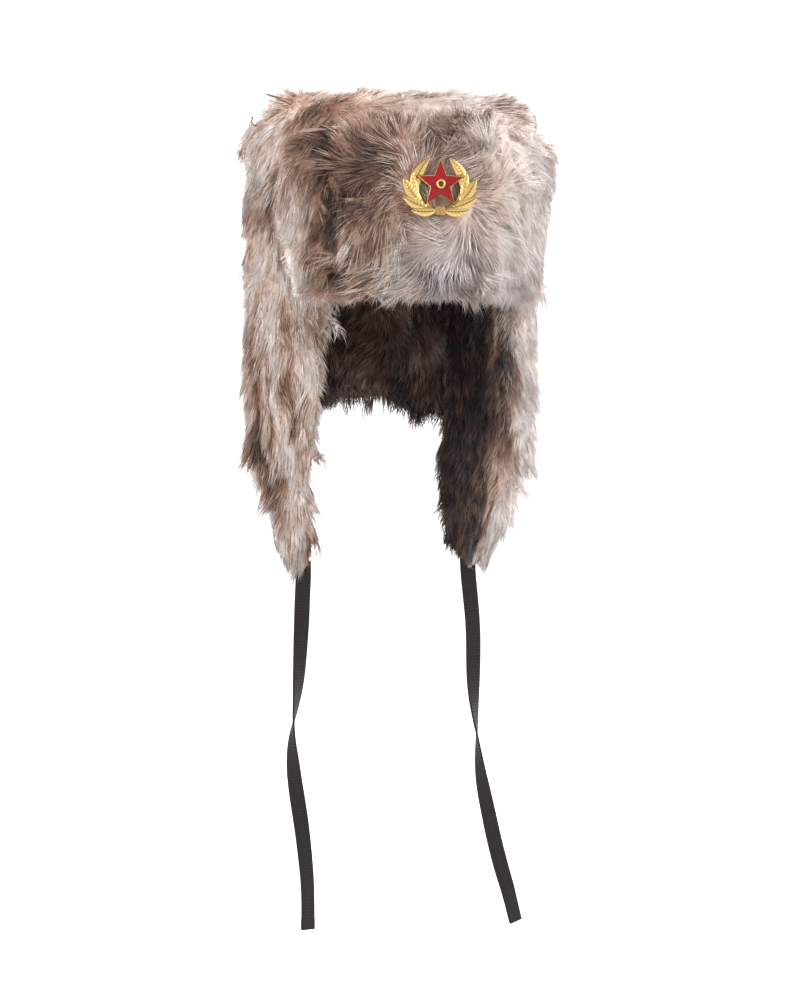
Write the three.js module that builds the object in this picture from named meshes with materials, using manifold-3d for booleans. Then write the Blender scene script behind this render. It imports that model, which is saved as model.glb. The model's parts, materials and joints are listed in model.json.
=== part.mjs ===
import * as THREE from 'three';
import { mergeVertices } from 'three/addons/utils/BufferGeometryUtils.js';
import Module from 'manifold-3d';

// Fur ushanka with its front flap turned up and its ear and neck flaps hanging.
// Millimetres, +Z up. The front faces -Y and the wearer's left side is +X.
// The origin is the middle of the head opening, level with its rim.
// Angles round the head are degrees from the middle of the front.

// Cloth and gaps
const WALL = 3;                       // padded cloth
const GAP = 0.3;                      // between neighbouring pieces
const LAYER_SIDE = 400;               // a box wider than the hat
const LAYER_DEPTH = 100;
const DEGREE = Math.PI / 180;

// The inner face of the crown's cloth, a row for each level from the rim up.
// boxy is how far the corners of a section stand out from an ellipse, as a share.
const CROWN_ROWS = [
  { height: 0.15, halfWidth: 82, halfLength: 102, boxy: 0 },
  { height: 35, halfWidth: 82.5, halfLength: 102, boxy: 0.02 },
  { height: 72, halfWidth: 83, halfLength: 101, boxy: 0.055 },
  { height: 95, halfWidth: 81, halfLength: 97, boxy: 0.075 },
  { height: 106, halfWidth: 74, halfLength: 89, boxy: 0.075 },
  { height: 111, halfWidth: 58, halfLength: 72, boxy: 0.05 },
  { height: 113, halfWidth: 30, halfLength: 38, boxy: 0.02 },
];
const CROWN_PEAK = 113.5;
const CROWN_SEGMENTS = 26;
const CROWN_FUR_SIDE = 12;            // depth of the fur's body, before its locks
const CROWN_FUR_TOP = 9;

// The skirt that the ear and neck flaps follow, at the middle of their cloth,
// a row for each level down from the rim
const SKIRT_ROWS = [
  { height: 0, halfWidth: 83.5, halfLength: 103.5 },
  { height: -40, halfWidth: 84.5, halfLength: 106 },
  { height: -80, halfWidth: 84.5, halfLength: 110 },
  { height: -104, halfWidth: 82, halfLength: 114 },
  { height: -125, halfWidth: 77.5, halfLength: 115 },
  { height: -146, halfWidth: 72, halfLength: 115 },
  { height: -167, halfWidth: 66.5, halfLength: 115 },
  { height: -185, halfWidth: 62, halfLength: 115 },
  { height: -196, halfWidth: 60, halfLength: 115 },
  { height: -215, halfWidth: 58, halfLength: 115 },
];

// The ear flap's cloth, from its front edge to its back edge
const SEAM_ANGLE = 134.5;             // where the neck flap begins
const SEAM_GAP = 0.2;
const EAR_ROWS = [
  { height: -0.15, front: 52, back: SEAM_ANGLE - SEAM_GAP },
  { height: -40, front: 52, back: SEAM_ANGLE - SEAM_GAP },
  { height: -80, front: 54, back: SEAM_ANGLE - SEAM_GAP },
  { height: -104, front: 59.5, back: SEAM_ANGLE - SEAM_GAP },
  { height: -125, front: 66.5, back: 132.5 },
  { height: -146, front: 74.5, back: 129 },
  { height: -167, front: 84, back: 122 },
  { height: -185, front: 89.5, back: 113 },
  { height: -196, front: 93, back: 105 },
];
const EAR_COLUMNS = 5;
const EAR_FUR = { outside: 13.5, inside: 8, margin: 4.5, below: 4 };
const EAR_LOCK_SEEDS = { left: 400, right: 550 };
const PAST_TIP = 5;                   // fall of the surface past its last row

// The neck flap's lower edge, from the middle of the back out to the seams
const NECK_DROP_BACK = 71;
const NECK_DROP_SEAM = 96;
const NECK_COLUMNS = 8;
const NECK_LEVELS = 3;
const NECK_FUR = { outside: 12, inside: 8, below: 6 };

// The neck flap's own space. Its fur keeps within it and the ear flaps' fur beside it,
// by these angles in degrees.
const NECK_SPACE = { past: 20, levels: 6, depth: 40, within: 0.3, beside: 0.6 };

// A lock of fur. Its root is set this deep in the fur's body, and the rest are shares:
// where it begins behind its root and is broadest, of its length; how deep it is at
// those places, of its root; and where it goes deepest.
const LOCK = { root: 3.2, heel: 0.2, heelDepth: 0.6, broad: 0.3, broadDepth: 0.8, keel: 0.5, lift: 0.8 };

// How the locks of a coat are scattered: where the first one may stand in its cell, how
// much of the cell it may use, how far every second row is set aside, how much a lock
// may lean and how its size varies
const SCATTER = { first: 0.3, room: 0.4, stagger: 0.25, lean: 0.7, smallest: 0.8, growth: 0.45 };

// The front flap stands up round the front of the crown
const FLAP_HALF_ANGLE = 56;           // at its upper corners
const FLAP_FOLD_ANGLE = 50;           // at the fold
const FLAP_STAND_OFF = 9;             // the middle of its cloth from the crown's inner face
const FLAP_LEAN = 0.04;               // further out for each millimetre up
const FLAP_HEIGHT = 98;
const FLAP_CORNER_DROP = 0.3;         // share of the height that its rounded corners lose
const FLAP_CLOTH = 2.4;
const FLAP_FUR = 22;                  // depth of the fur's body at the middle
const FLAP_FUR_EDGE = 8;
const FLAP_FUR_MARGIN = 5;            // degrees past the cloth's side edges
const FLAP_FUR_ABOVE = 7;
const FLAP_FRINGE = 12;               // how far the fur's body hangs below the fold
const FLAP_PARTING = 36;              // the locks point up above it and down below it
const FLAP_FAN = 110;                 // the distance aside at which a lock leans out by one
const FLAP_FLARE = 90;                // the height at which it is widest
const FLAP_COLUMNS = 9;
const FLAP_LEVELS = 4;
const FLAP_SPACE = { margin: 6, low: -21, high: 165, out: 45, behind: 1.1 };

// Ties: flat ribbon sewn to the tips of the ear flaps. Each row is a place along one:
// its drop below the tip, its way across to +X and the turn of its broad face.
const TIE_WIDTH = 11;
const TIE_THICKNESS = 1.6;
const TIE_STEPS = 18;
const TIE_ROOT = { angle: 99, height: -196.45 };
const TIE_LEFT_ROWS = [
  { drop: 0, across: 0, turn: -13 },
  { drop: 12, across: 0.7, turn: -13 },
  { drop: 28, across: 2.3, turn: -5 },
  { drop: 42, across: 3.6, turn: 2 },
  { drop: 56, across: 4.3, turn: 5 },
  { drop: 70, across: 4.4, turn: 8 },
  { drop: 84, across: 4.4, turn: 18 },
  { drop: 98, across: 4.8, turn: 35 },
  { drop: 112, across: 5.8, turn: 56 },
  { drop: 126, across: 7.2, turn: 78 },
  { drop: 140, across: 8.4, turn: 101 },
  { drop: 154, across: 10.1, turn: 122 },
  { drop: 168, across: 12.6, turn: 140 },
  { drop: 183, across: 15.8, turn: 152 },
  { drop: 197, across: 18.8, turn: 160 },
  { drop: 211, across: 22.2, turn: 168 },
  { drop: 225, across: 26, turn: 176 },
  { drop: 239, across: 30.2, turn: 190 },
  { drop: 262, across: 36, turn: 205 },
];
const TIE_RIGHT_ROWS = [
  { drop: 0, across: 0, turn: -13 },
  { drop: 12, across: 0, turn: -13 },
  { drop: 28, across: -0.7, turn: -12 },
  { drop: 42, across: -1.2, turn: -2 },
  { drop: 56, across: -1.9, turn: 12 },
  { drop: 70, across: -2.6, turn: 24 },
  { drop: 84, across: -3.5, turn: 36 },
  { drop: 98, across: -4.9, turn: 54 },
  { drop: 112, across: -6.8, turn: 76 },
  { drop: 126, across: -8.1, turn: 104 },
  { drop: 140, across: -7.7, turn: 130 },
  { drop: 155, across: -6.3, turn: 152 },
  { drop: 169, across: -4.3, turn: 167 },
  { drop: 183, across: -2.2, turn: 178 },
  { drop: 197, across: -0.4, turn: 187 },
  { drop: 211, across: 1.1, turn: 194 },
  { drop: 225, across: 2.3, turn: 200 },
  { drop: 240, across: 2.9, turn: 203 },
  { drop: 261.5, across: 2.9, turn: 200 },
];

// Badge, in its own plane: x to the wearer's left, y up, z out of the hat
const BADGE = { side: 3, out: 139.5, up: 59 };
const STAR_RADIUS = 16;
const STAR_NOTCH = 0.43;              // radius of the notches as a share of the tips'
const STAR_BORDER = 0.9;
const STAR_PLATE = 1;
const STAR_RIM = 2.2;
const ENAMEL_EDGE = 1.9;
const ENAMEL_PEAK = 3.2;
const BOSS = { radius: 3.1, hole: 1.5, stem: 1.2, thick: 0.8 };
const POST_RADIUS = 1.4;
const POCKET = { halfWidth: 28.5, halfHeight: 22.5, out: 139 };

// The wreath's half on the wearer's left. A leaf bows away from the star by its bow.
const LEAF_ROWS = [
  { rootX: 17.2, rootY: -5.5, tipX: 6.8, tipY: 17.6, width: 7.2, bow: 2.6, lift: 0 },
  { rootX: 15, rootY: -9, tipX: 19.4, tipY: 8.4, width: 5.4, bow: 0.6, lift: 0.3 },
  { rootX: 13.4, rootY: -12, tipX: 25.4, tipY: 3.4, width: 7.6, bow: 0.9, lift: 0.7 },
  { rootX: 8.6, rootY: -15.6, tipX: 25.8, tipY: -8.4, width: 7.2, bow: 0.8, lift: 1 },
  { rootX: 2.8, rootY: -17.6, tipX: 19.6, tipY: -17.2, width: 6.6, bow: 0.9, lift: 1.3 },
];
const LEAF_OUTLINE = [
  { along: 0, share: 0.3 },
  { along: 0.3, share: 1 },
  { along: 0.66, share: 0.8 },
];
const LEAF_EDGE = 0.6;
const LEAF_RIDGE = 1.4;
const STALK_ROWS = [
  { x: 0, y: -18.6, width: 5 },
  { x: 7, y: -16.4, width: 4.8 },
  { x: 13, y: -11.6, width: 4.4 },
  { x: 16, y: -5, width: 3.6 },
  { x: 16, y: 2, width: 2.6 },
];
const STALK_THICK = 0.9;
const BAND = { width: 6.4, height: 5.4, thick: 2.6, y: -18 };

const wasm = await Module();
wasm.setup();

// Small helpers

function lerp(a, b, t) {
  return a + (b - a) * t;
}

function ramp(from, to, x) {
  const t = Math.min(1, Math.max(0, (x - from) / (to - from)));
  return t * t * (3 - 2 * t);
}

// A repeatable number from 0 to 1 for the seed
function chance(seed) {
  const wave = Math.sin(seed * 12.9898 + 4.137) * 43758.5453;
  return wave - Math.floor(wave);
}

// A column of a table of levels, read at any height
function columnAt(rows, column, height) {
  const up = Math.sign(rows[1].height - rows[0].height);
  let index = 0;
  while (index < rows.length - 2 && up * (height - rows[index + 1].height) > 0) {
    index += 1;
  }
  const [low, high] = [rows[index], rows[index + 1]];
  const t = (height - low.height) / (high.height - low.height);
  return lerp(low[column], high[column], Math.min(1, Math.max(0, t)));
}

// Closed meshes

function signedVolume(points, faces) {
  let sum = 0;
  const cross = new THREE.Vector3();
  for (const [a, b, c] of faces) {
    sum += points[a].dot(cross.crossVectors(points[b], points[c])) / 6;
  }
  return sum;
}

function solidFrom(points, faces) {
  const outward = signedVolume(points, faces) > 0;
  const turned = outward ? faces : faces.map(([a, b, c]) => [a, c, b]);
  return new wasm.Manifold(new wasm.Mesh({
    numProp: 3,
    vertProperties: new Float32Array(points.flatMap((p) => [p.x, p.y, p.z])),
    triVerts: new Uint32Array(turned.flat()),
  }));
}

function solidFromGeometry(geometry) {
  const bare = geometry.clone();
  bare.deleteAttribute('normal');
  bare.deleteAttribute('uv');
  const merged = mergeVertices(bare, 1e-4);
  return new wasm.Manifold(new wasm.Mesh({
    numProp: 3,
    vertProperties: merged.attributes.position.array,
    triVerts: new Uint32Array(merged.index.array),
  }));
}

function fuse(solids) {
  return wasm.Manifold.union(solids);
}

// The largest body of a solid whose cuts may have left crumbs
function mainBody(solid) {
  const bodies = solid.decompose();
  return bodies.reduce((best, body) => (body.volume() > best.volume() ? body : best));
}

function quad(faces, a, b, c, d) {
  faces.push([a, b, c], [a, c, d]);
}

// Surfaces are functions of two numbers; their normals point away from the head
function normalOf(surface, s, t) {
  const step = 0.01;
  const alongS = surface(s + step, t).sub(surface(s - step, t));
  const alongT = surface(s, t + step).sub(surface(s, t - step));
  const normal = alongS.cross(alongT).normalize();
  const away = surface(s, t).setZ(0);
  return normal.dot(away) < 0 ? normal.negate() : normal;
}

function offset(surface, s, t, distance) {
  return surface(s, t).addScaledVector(normalOf(surface, s, t), distance);
}

// A closed slab about a surface, with its own depth outside and inside at each place
function slab(surface, columns, levels, outside, inside) {
  const points = [];
  const faces = [];
  const width = columns + 1;
  const half = width * (levels + 1);
  for (const [depth, sign] of [[outside, 1], [inside, -1]]) {
    for (let j = 0; j <= levels; j += 1) {
      for (let i = 0; i <= columns; i += 1) {
        const [s, t] = [i / columns, j / levels];
        points.push(offset(surface, s, t, sign * depth(s, t)));
      }
    }
  }
  for (let j = 0; j < levels; j += 1) {
    for (let i = 0; i < columns; i += 1) {
      const a = j * width + i;
      quad(faces, a, a + 1, a + width + 1, a + width);
      quad(faces, half + a, half + a + width, half + a + width + 1, half + a + 1);
    }
  }
  for (let i = 0; i < columns; i += 1) {
    const last = levels * width + i;
    quad(faces, i, half + i, half + i + 1, i + 1);
    quad(faces, last, last + 1, half + last + 1, half + last);
  }
  for (let j = 0; j < levels; j += 1) {
    const first = j * width;
    const last = first + columns;
    quad(faces, first, first + width, half + first + width, half + first);
    quad(faces, last, half + last, half + last + width, last + width);
  }
  return solidFrom(points, faces);
}

// Crown

// The inner face of the cloth at an angle and a level counted in rows
function crownInner(angle, level) {
  const low = CROWN_ROWS[Math.max(0, Math.min(CROWN_ROWS.length - 2, Math.floor(level)))];
  const high = CROWN_ROWS[CROWN_ROWS.indexOf(low) + 1];
  const t = level - CROWN_ROWS.indexOf(low);
  const turn = angle * DEGREE;
  const out = 1 + lerp(low.boxy, high.boxy, t) * Math.sin(2 * turn) ** 2;
  return new THREE.Vector3(
    lerp(low.halfWidth, high.halfWidth, t) * out * Math.sin(turn),
    -lerp(low.halfLength, high.halfLength, t) * out * Math.cos(turn),
    lerp(low.height, high.height, t),
  );
}

function crownNormal(angle, level) {
  const along = crownInner(angle + 1, level).sub(crownInner(angle - 1, level));
  const up = crownInner(angle, level + 0.3).sub(crownInner(angle, level - 0.3));
  const normal = along.cross(up).normalize();
  return level === 0 ? normal.setZ(0).normalize() : normal;
}

function crownAt(angle, level, distance) {
  return crownInner(angle, level).addScaledVector(crownNormal(angle, level), distance);
}

// A shell between two depths outside the crown's inner face, open at the rim
function crownShell(inner, outer) {
  const points = [];
  const faces = [];
  const levels = CROWN_ROWS.length;
  const half = levels * CROWN_SEGMENTS + 1;
  for (const depth of [outer, inner]) {
    for (let level = 0; level < levels; level += 1) {
      for (let i = 0; i < CROWN_SEGMENTS; i += 1) {
        points.push(crownAt((i * 360) / CROWN_SEGMENTS, level, depth(level)));
      }
    }
    points.push(new THREE.Vector3(0, 0, CROWN_PEAK + depth(levels)));
  }
  for (let i = 0; i < CROWN_SEGMENTS; i += 1) {
    const next = (i + 1) % CROWN_SEGMENTS;
    for (let level = 0; level < levels - 1; level += 1) {
      const row = level * CROWN_SEGMENTS;
      const above = row + CROWN_SEGMENTS;
      quad(faces, row + i, row + next, above + next, above + i);
      quad(faces, half + row + i, half + above + i, half + above + next, half + row + next);
    }
    const top = (levels - 1) * CROWN_SEGMENTS;
    faces.push([top + i, top + next, half - 1]);
    faces.push([half + top + next, half + top + i, 2 * half - 1]);
    quad(faces, i, half + i, half + next, next);
  }
  return solidFrom(points, faces);
}

// Skirt of the ear and neck flaps

function skirtPoint(angle, height) {
  return new THREE.Vector3(
    columnAt(SKIRT_ROWS, 'halfWidth', height) * Math.sin(angle * DEGREE),
    -columnAt(SKIRT_ROWS, 'halfLength', height) * Math.cos(angle * DEGREE),
    height,
  );
}

// An ear flap's surface: s from the front edge to the back edge, t from the rim down.
// margin widens it past its edges in degrees, and below lengthens it past its tip.
function earSurface(side, margin, above, below) {
  const last = EAR_ROWS.length - 1;
  return (s, t) => {
    const level = Math.min(last, Math.max(0, t * last));
    const low = EAR_ROWS[Math.min(last - 1, Math.floor(level))];
    const high = EAR_ROWS[EAR_ROWS.indexOf(low) + 1];
    const part = level - EAR_ROWS.indexOf(low);
    const inHeight = lerp(low.height, high.height, part);
    const beyond = t * last - level;
    const raised = above * (1 - ramp(0, 1 / last, t));
    const lowered = below * ramp(0.85, 1, t) + PAST_TIP * beyond;
    const height = inHeight + raised - lowered;
    const pastNeck = ramp(-NECK_DROP_SEAM - 3, -NECK_DROP_SEAM - 24, height);
    const front = lerp(low.front, high.front, part) - margin;
    const back = lerp(low.back, high.back, part) + margin * pastNeck;
    return skirtPoint(side * lerp(front, back, s), height);
  };
}

function neckDrop(angle) {
  const share = Math.abs(angle - 180) / (180 - SEAM_ANGLE);
  return lerp(NECK_DROP_BACK, NECK_DROP_SEAM, share * share);
}

// The neck flap's surface: s from seam to seam, t from the rim down
function neckSurface(spread, above, below) {
  return (s, t) => {
    const angle = lerp(SEAM_ANGLE - spread, 360 - SEAM_ANGLE + spread, s);
    return skirtPoint(angle, lerp(-0.15 + above, -neckDrop(angle) - below, t));
  };
}

// Front flap

function flapPoint(angle, height) {
  const level = Math.min(2.5, (3 * Math.max(0, height)) / CROWN_ROWS[3].height);
  const beside = crownInner(angle, level).setZ(0);
  const out = FLAP_STAND_OFF + FLAP_LEAN * height;
  return beside.addScaledVector(crownNormal(angle, 0), out).setZ(height);
}

// How far round the flap reaches at a height
function flapReach(height) {
  return lerp(FLAP_FOLD_ANGLE, FLAP_HALF_ANGLE, ramp(0, FLAP_FLARE, height));
}

// The flap's surface: s from the wearer's right to the left, t from the fold up
function flapSurface(margin, below, above) {
  return (s, t) => {
    const share = lerp(-1, 1, s);
    const top = FLAP_HEIGHT * (1 - FLAP_CORNER_DROP * share ** 4);
    const height = lerp(GAP - below, top + above, t);
    return flapPoint(share * (flapReach(height) + margin), height);
  };
}

// The space that belongs to the front flap and its fur
function flapSpace(grow) {
  const surface = (s, t) => {
    const height = lerp(FLAP_SPACE.low - grow, FLAP_SPACE.high + grow, t);
    const reach = flapReach(height) + FLAP_SPACE.margin + grow * 0.6;
    return flapPoint(lerp(-1, 1, s) * reach, height);
  };
  const behind = () => FLAP_CLOTH / 2 + FLAP_SPACE.behind + grow;
  return slab(surface, 10, 5, () => FLAP_SPACE.out, behind);
}

// Fur

// A lock lies along the fur from its root, and its tip stands off by its lift
function lock(root, normal, direction, { length, width, lift }, size) {
  const flow = direction.clone().addScaledVector(normal, -direction.dot(normal)).normalize();
  const side = new THREE.Vector3().crossVectors(flow, normal);
  const place = (along, across, out) => root.clone()
    .addScaledVector(flow, along * length * size)
    .addScaledVector(side, across * width * size)
    .addScaledVector(normal, out);
  const points = [
    place(-LOCK.heel, 0, -LOCK.root * LOCK.heelDepth),
    place(LOCK.broad, -0.5, -LOCK.root * LOCK.broadDepth),
    place(LOCK.broad, 0.5, -LOCK.root * LOCK.broadDepth),
    place(LOCK.broad, 0, lift * size * LOCK.lift),
    place(1, 0, lift * size * LOCK.lift),
    place(LOCK.keel, 0, -LOCK.root),
  ];
  const faces = [
    [0, 1, 3], [0, 3, 2], [1, 4, 3], [3, 4, 2],
    [0, 5, 1], [0, 2, 5], [1, 5, 4], [5, 2, 4],
  ];
  return solidFrom(points, faces);
}

// Locks over a surface in staggered rows, each leaning a little its own way
function locksOver(surface, depth, flow, coat) {
  const { columns, rows, seed, skip, reach = 1 } = coat;
  const locks = [];
  for (let j = 0; j < rows; j += 1) {
    for (let i = 0; i < columns; i += 1) {
      const pick = seed + j * columns + i;
      const aside = j % 2 ? SCATTER.stagger : -SCATTER.stagger;
      const s = (i + SCATTER.first + SCATTER.room * chance(pick) + aside) / columns;
      const t = (reach * (j + SCATTER.first + SCATTER.room * chance(pick + 0.37))) / rows;
      const root = offset(surface, s, t, depth(s, t));
      if (!skip || !skip(root)) {
        const normal = normalOf(surface, s, t).multiplyScalar(Math.sign(depth(s, t)));
        const direction = flow(root, normal, s, t);
        const lean = new THREE.Vector3().crossVectors(direction, normal);
        direction.addScaledVector(lean, SCATTER.lean * (chance(pick + 0.61) - 0.5));
        const size = SCATTER.smallest + SCATTER.growth * chance(pick + 0.83);
        locks.push(lock(root, normal, direction, coat, size));
      }
    }
  }
  return locks;
}

const DOWN = new THREE.Vector3(0, 0, -1);

function crownFur() {
  const body = (level) => lerp(CROWN_FUR_SIDE, CROWN_FUR_TOP, ramp(3, 6, level));
  const shell = crownShell(() => WALL + GAP, (level) => WALL + GAP + body(level));
  const levelAt = (t) => (t < 0.7 ? (3 * t) / 0.7 : 3 + (t - 0.7) * 9);
  const surface = (s, t) => crownInner(s * 360, levelAt(t));
  const depth = (s, t) => WALL + GAP + body(levelAt(t));
  const flow = (root, normal, s, t) => {
    const outward = root.clone().setZ(0).normalize();
    return t < 0.55 ? DOWN.clone().addScaledVector(outward, 0.2) : outward.setZ(t < 0.75 ? 0.5 : 0);
  };
  const locks = locksOver(surface, depth, flow, {
    columns: 13, rows: 6, length: 34, width: 28, lift: 7.5, seed: 100,
    skip: (root) => root.y < -66 && root.z < 88,
  });
  return fuse([shell, ...locks]);
}

function flapFur() {
  const edge = (x) => (2 * x - 1) ** 4;
  const fill = (s, t) => lerp(FLAP_FUR_EDGE, FLAP_FUR, (1 - edge(s)) * (1 - edge(t)));
  const surface = flapSurface(FLAP_FUR_MARGIN, FLAP_FRINGE, FLAP_FUR_ABOVE);
  const depth = (s, t) => FLAP_CLOTH / 2 + fill(s, t);
  const body = slab(surface, FLAP_COLUMNS, FLAP_LEVELS, depth, () => -FLAP_CLOTH / 4);
  const near = () => FLAP_CLOTH / 2 + GAP;
  const cloth = slab(flapSurface(0.2, GAP, GAP), FLAP_COLUMNS, FLAP_LEVELS, near, () => 10);
  const flow = (root) => {
    const outward = new THREE.Vector3(root.x / FLAP_FAN, 0, 0);
    return root.z > FLAP_PARTING ? outward.setZ(0.9) : outward.setZ(-0.9);
  };
  const inPocket = (root) => Math.hypot(
    (root.x - BADGE.side) / POCKET.halfWidth,
    (root.z - BADGE.up) / POCKET.halfHeight,
  ) < 1.1;
  const locks = locksOver(surface, depth, flow, {
    columns: 7, rows: 5, length: 29, width: 31, lift: 5, seed: 300, reach: 0.82, skip: inPocket,
  });
  return fuse([body, ...locks]).subtract(cloth);
}

// Fur on both faces of a hanging sheet, open above where the sheet enters it
function hangingFur(body, cloth, outerLocks, innerLocks) {
  return fuse([body, ...outerLocks, ...innerLocks]).subtract(cloth);
}

function earFur(side, seed) {
  const surface = earSurface(side, EAR_FUR.margin, 0, EAR_FUR.below);
  const round = (s, t) => {
    const front = (1 - s) ** 6;
    const back = s ** 6 * ramp(0.4, 0.6, t);
    const tip = 0.3 * ramp(0.4, 0.7, t) + 0.35 * ramp(0.75, 1, t);
    return (1 - 0.65 * front) * (1 - 0.65 * back) * (1 - tip);
  };
  const outside = (s, t) => WALL / 2 + GAP + 0.8 + EAR_FUR.outside * round(s, t);
  const inside = (s, t) => WALL / 2 + GAP + 0.8 + EAR_FUR.inside * round(s, t);
  const levels = EAR_ROWS.length - 1;
  const body = slab(surface, EAR_COLUMNS, levels, outside, inside);
  const room = () => WALL / 2 + GAP;
  const cloth = slab(earSurface(side, 0.2, GAP, GAP), EAR_COLUMNS, levels, room, room);
  const flow = (root, normal, s, t) => {
    const outward = root.clone().setZ(0).normalize();
    const forward = new THREE.Vector3(0, s < 0.3 ? -0.7 : 0.15, 0);
    return DOWN.clone().addScaledVector(outward, 0.12).add(forward.multiplyScalar(t < 0.9 ? 1 : 0.3));
  };
  const outer = locksOver(surface, outside, flow, {
    columns: 3, rows: 7, length: 32, width: 28, lift: 4.5, seed, reach: 0.81,
  });
  const inner = locksOver(surface, (s, t) => -inside(s, t), flow, {
    columns: 2, rows: 5, length: 32, width: 30, lift: 4, seed: seed + 50, reach: 0.79,
  });
  return hangingFur(body, cloth, outer, inner);
}

function neckFur() {
  const surface = neckSurface(0, 0, NECK_FUR.below);
  const round = (s, t) => 1 - 0.6 * ramp(0.7, 1, t);
  const outside = (s, t) => WALL / 2 + GAP + 0.8 + NECK_FUR.outside * round(s, t);
  const inside = (s, t) => WALL / 2 + GAP + 0.8 + NECK_FUR.inside * round(s, t);
  const body = slab(surface, NECK_COLUMNS, NECK_LEVELS, outside, inside);
  const room = () => WALL / 2 + GAP;
  const cloth = slab(neckSurface(0, GAP, GAP), NECK_COLUMNS, NECK_LEVELS, room, room);
  const flow = (root) => DOWN.clone().addScaledVector(root.clone().setZ(0).normalize(), 0.12);
  const outer = locksOver(surface, outside, flow, {
    columns: 5, rows: 3, length: 33, width: 34, lift: 4.5, seed: 700,
  });
  const inner = locksOver(surface, (s, t) => -inside(s, t), flow, {
    columns: 4, rows: 2, length: 33, width: 36, lift: 4, seed: 760,
  });
  return hangingFur(body, cloth, outer, inner);
}

// Ties

function tieRoute(side, rows) {
  const root = skirtPoint(side * TIE_ROOT.angle, TIE_ROOT.height);
  return rows.map((row) => root.clone().add(new THREE.Vector3(row.across, 0, -row.drop)));
}

function tieTurn(rows, t) {
  const place = t * (rows.length - 1);
  const index = Math.min(rows.length - 2, Math.floor(place));
  return lerp(rows[index].turn, rows[index + 1].turn, place - index) * DEGREE;
}

// A flat ribbon with rounded edges, carried along its route and turned as it goes
function tieRibbon(side, rows, grow) {
  const [wide, thick] = [TIE_WIDTH / 2 + grow, TIE_THICKNESS / 2 + grow];
  const section = [
    [-wide, -thick * 0.35], [-wide + 0.5, -thick], [wide - 0.5, -thick], [wide, -thick * 0.35],
    [wide, thick * 0.35], [wide - 0.5, thick], [-wide + 0.5, thick], [-wide, thick * 0.35],
  ];
  const curve = new THREE.CatmullRomCurve3(tieRoute(side, rows));
  const points = [];
  const faces = [];
  const sides = section.length;
  for (let i = 0; i <= TIE_STEPS; i += 1) {
    const t = i / TIE_STEPS;
    const centre = curve.getPoint(t);
    const tangent = curve.getTangent(t);
    const turn = tieTurn(rows, t);
    const across = new THREE.Vector3(Math.cos(turn), Math.sin(turn), 0);
    across.addScaledVector(tangent, -across.dot(tangent)).normalize();
    const out = new THREE.Vector3().crossVectors(tangent, across);
    for (const [x, y] of section) {
      points.push(centre.clone().addScaledVector(across, x).addScaledVector(out, y));
    }
  }
  for (let i = 0; i < TIE_STEPS; i += 1) {
    for (let k = 0; k < sides; k += 1) {
      const next = (k + 1) % sides;
      quad(faces, i * sides + k, (i + 1) * sides + k, (i + 1) * sides + next, i * sides + next);
    }
  }
  const end = TIE_STEPS * sides;
  for (let k = 1; k < sides - 1; k += 1) {
    faces.push([0, k, k + 1], [end, end + k + 1, end + k]);
  }
  return solidFrom(points, faces);
}

// Badge

function starShape(radius) {
  const points = [];
  for (let i = 0; i < 10; i += 1) {
    const reach = i % 2 ? radius * STAR_NOTCH : radius;
    const turn = i * 36 * DEGREE;
    points.push(new THREE.Vector2(reach * Math.sin(turn), reach * Math.cos(turn)));
  }
  return new THREE.Shape(points.reverse());
}

// The radius of a star whose edges lie inside the border of the badge's star
function starInside(border) {
  const notch = STAR_NOTCH * Math.sin(36 * DEGREE);
  const tip = Math.atan2(notch, 1 - STAR_NOTCH * Math.cos(36 * DEGREE));
  return STAR_RADIUS - border / Math.sin(tip);
}

function extruded(shape, depth, from = 0) {
  const geometry = new THREE.ExtrudeGeometry(shape, { depth, bevelEnabled: false, curveSegments: 6 });
  return solidFromGeometry(geometry.translate(0, 0, from));
}

function rod(radius, from, to, sides = 8) {
  const geometry = new THREE.CylinderGeometry(radius, radius, to - from, sides);
  return solidFromGeometry(geometry.rotateX(Math.PI / 2).translate(0, 0, (from + to) / 2));
}

// A pointed leaf, raised to a ridge along its middle
function leaf({ rootX, rootY, tipX, tipY, width, bow, lift }, mirror) {
  const root = new THREE.Vector3(mirror * rootX, rootY, 0);
  const axis = new THREE.Vector3(mirror * tipX, tipY, 0).sub(root);
  const across = new THREE.Vector3(-axis.y, axis.x, 0).normalize();
  const place = (along, side, z) => root.clone()
    .addScaledVector(axis, along)
    .addScaledVector(across, (side * width) / 2 - mirror * bow * Math.sin(Math.PI * along))
    .setZ(z);
  const points = [place(1, 0, 0), place(1, 0, LEAF_EDGE + lift)];
  for (const { along, share } of LEAF_OUTLINE) {
    points.push(
      place(along, share, 0),
      place(along, -share, 0),
      place(along, share, LEAF_EDGE + lift),
      place(along, -share, LEAF_EDGE + lift),
      place(along, 0, LEAF_RIDGE + lift),
    );
  }
  const [first, middle, last] = [2, 7, 12];
  const faces = [];
  for (const [a, b] of [[first, middle], [middle, last]]) {
    quad(faces, a, a + 1, b + 1, b);
    quad(faces, a, b, b + 2, a + 2);
    quad(faces, a + 1, a + 3, b + 3, b + 1);
    quad(faces, a + 2, b + 2, b + 4, a + 4);
    quad(faces, a + 4, b + 4, b + 3, a + 3);
  }
  faces.push([last, last + 1, 0], [last + 2, 1, last + 4], [last + 4, 1, last + 3]);
  quad(faces, last, 0, 1, last + 2);
  quad(faces, last + 1, last + 3, 1, 0);
  quad(faces, first, first + 2, first + 3, first + 1);
  faces.push([first + 2, first + 4, first + 3]);
  return solidFrom(points, faces);
}

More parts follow.
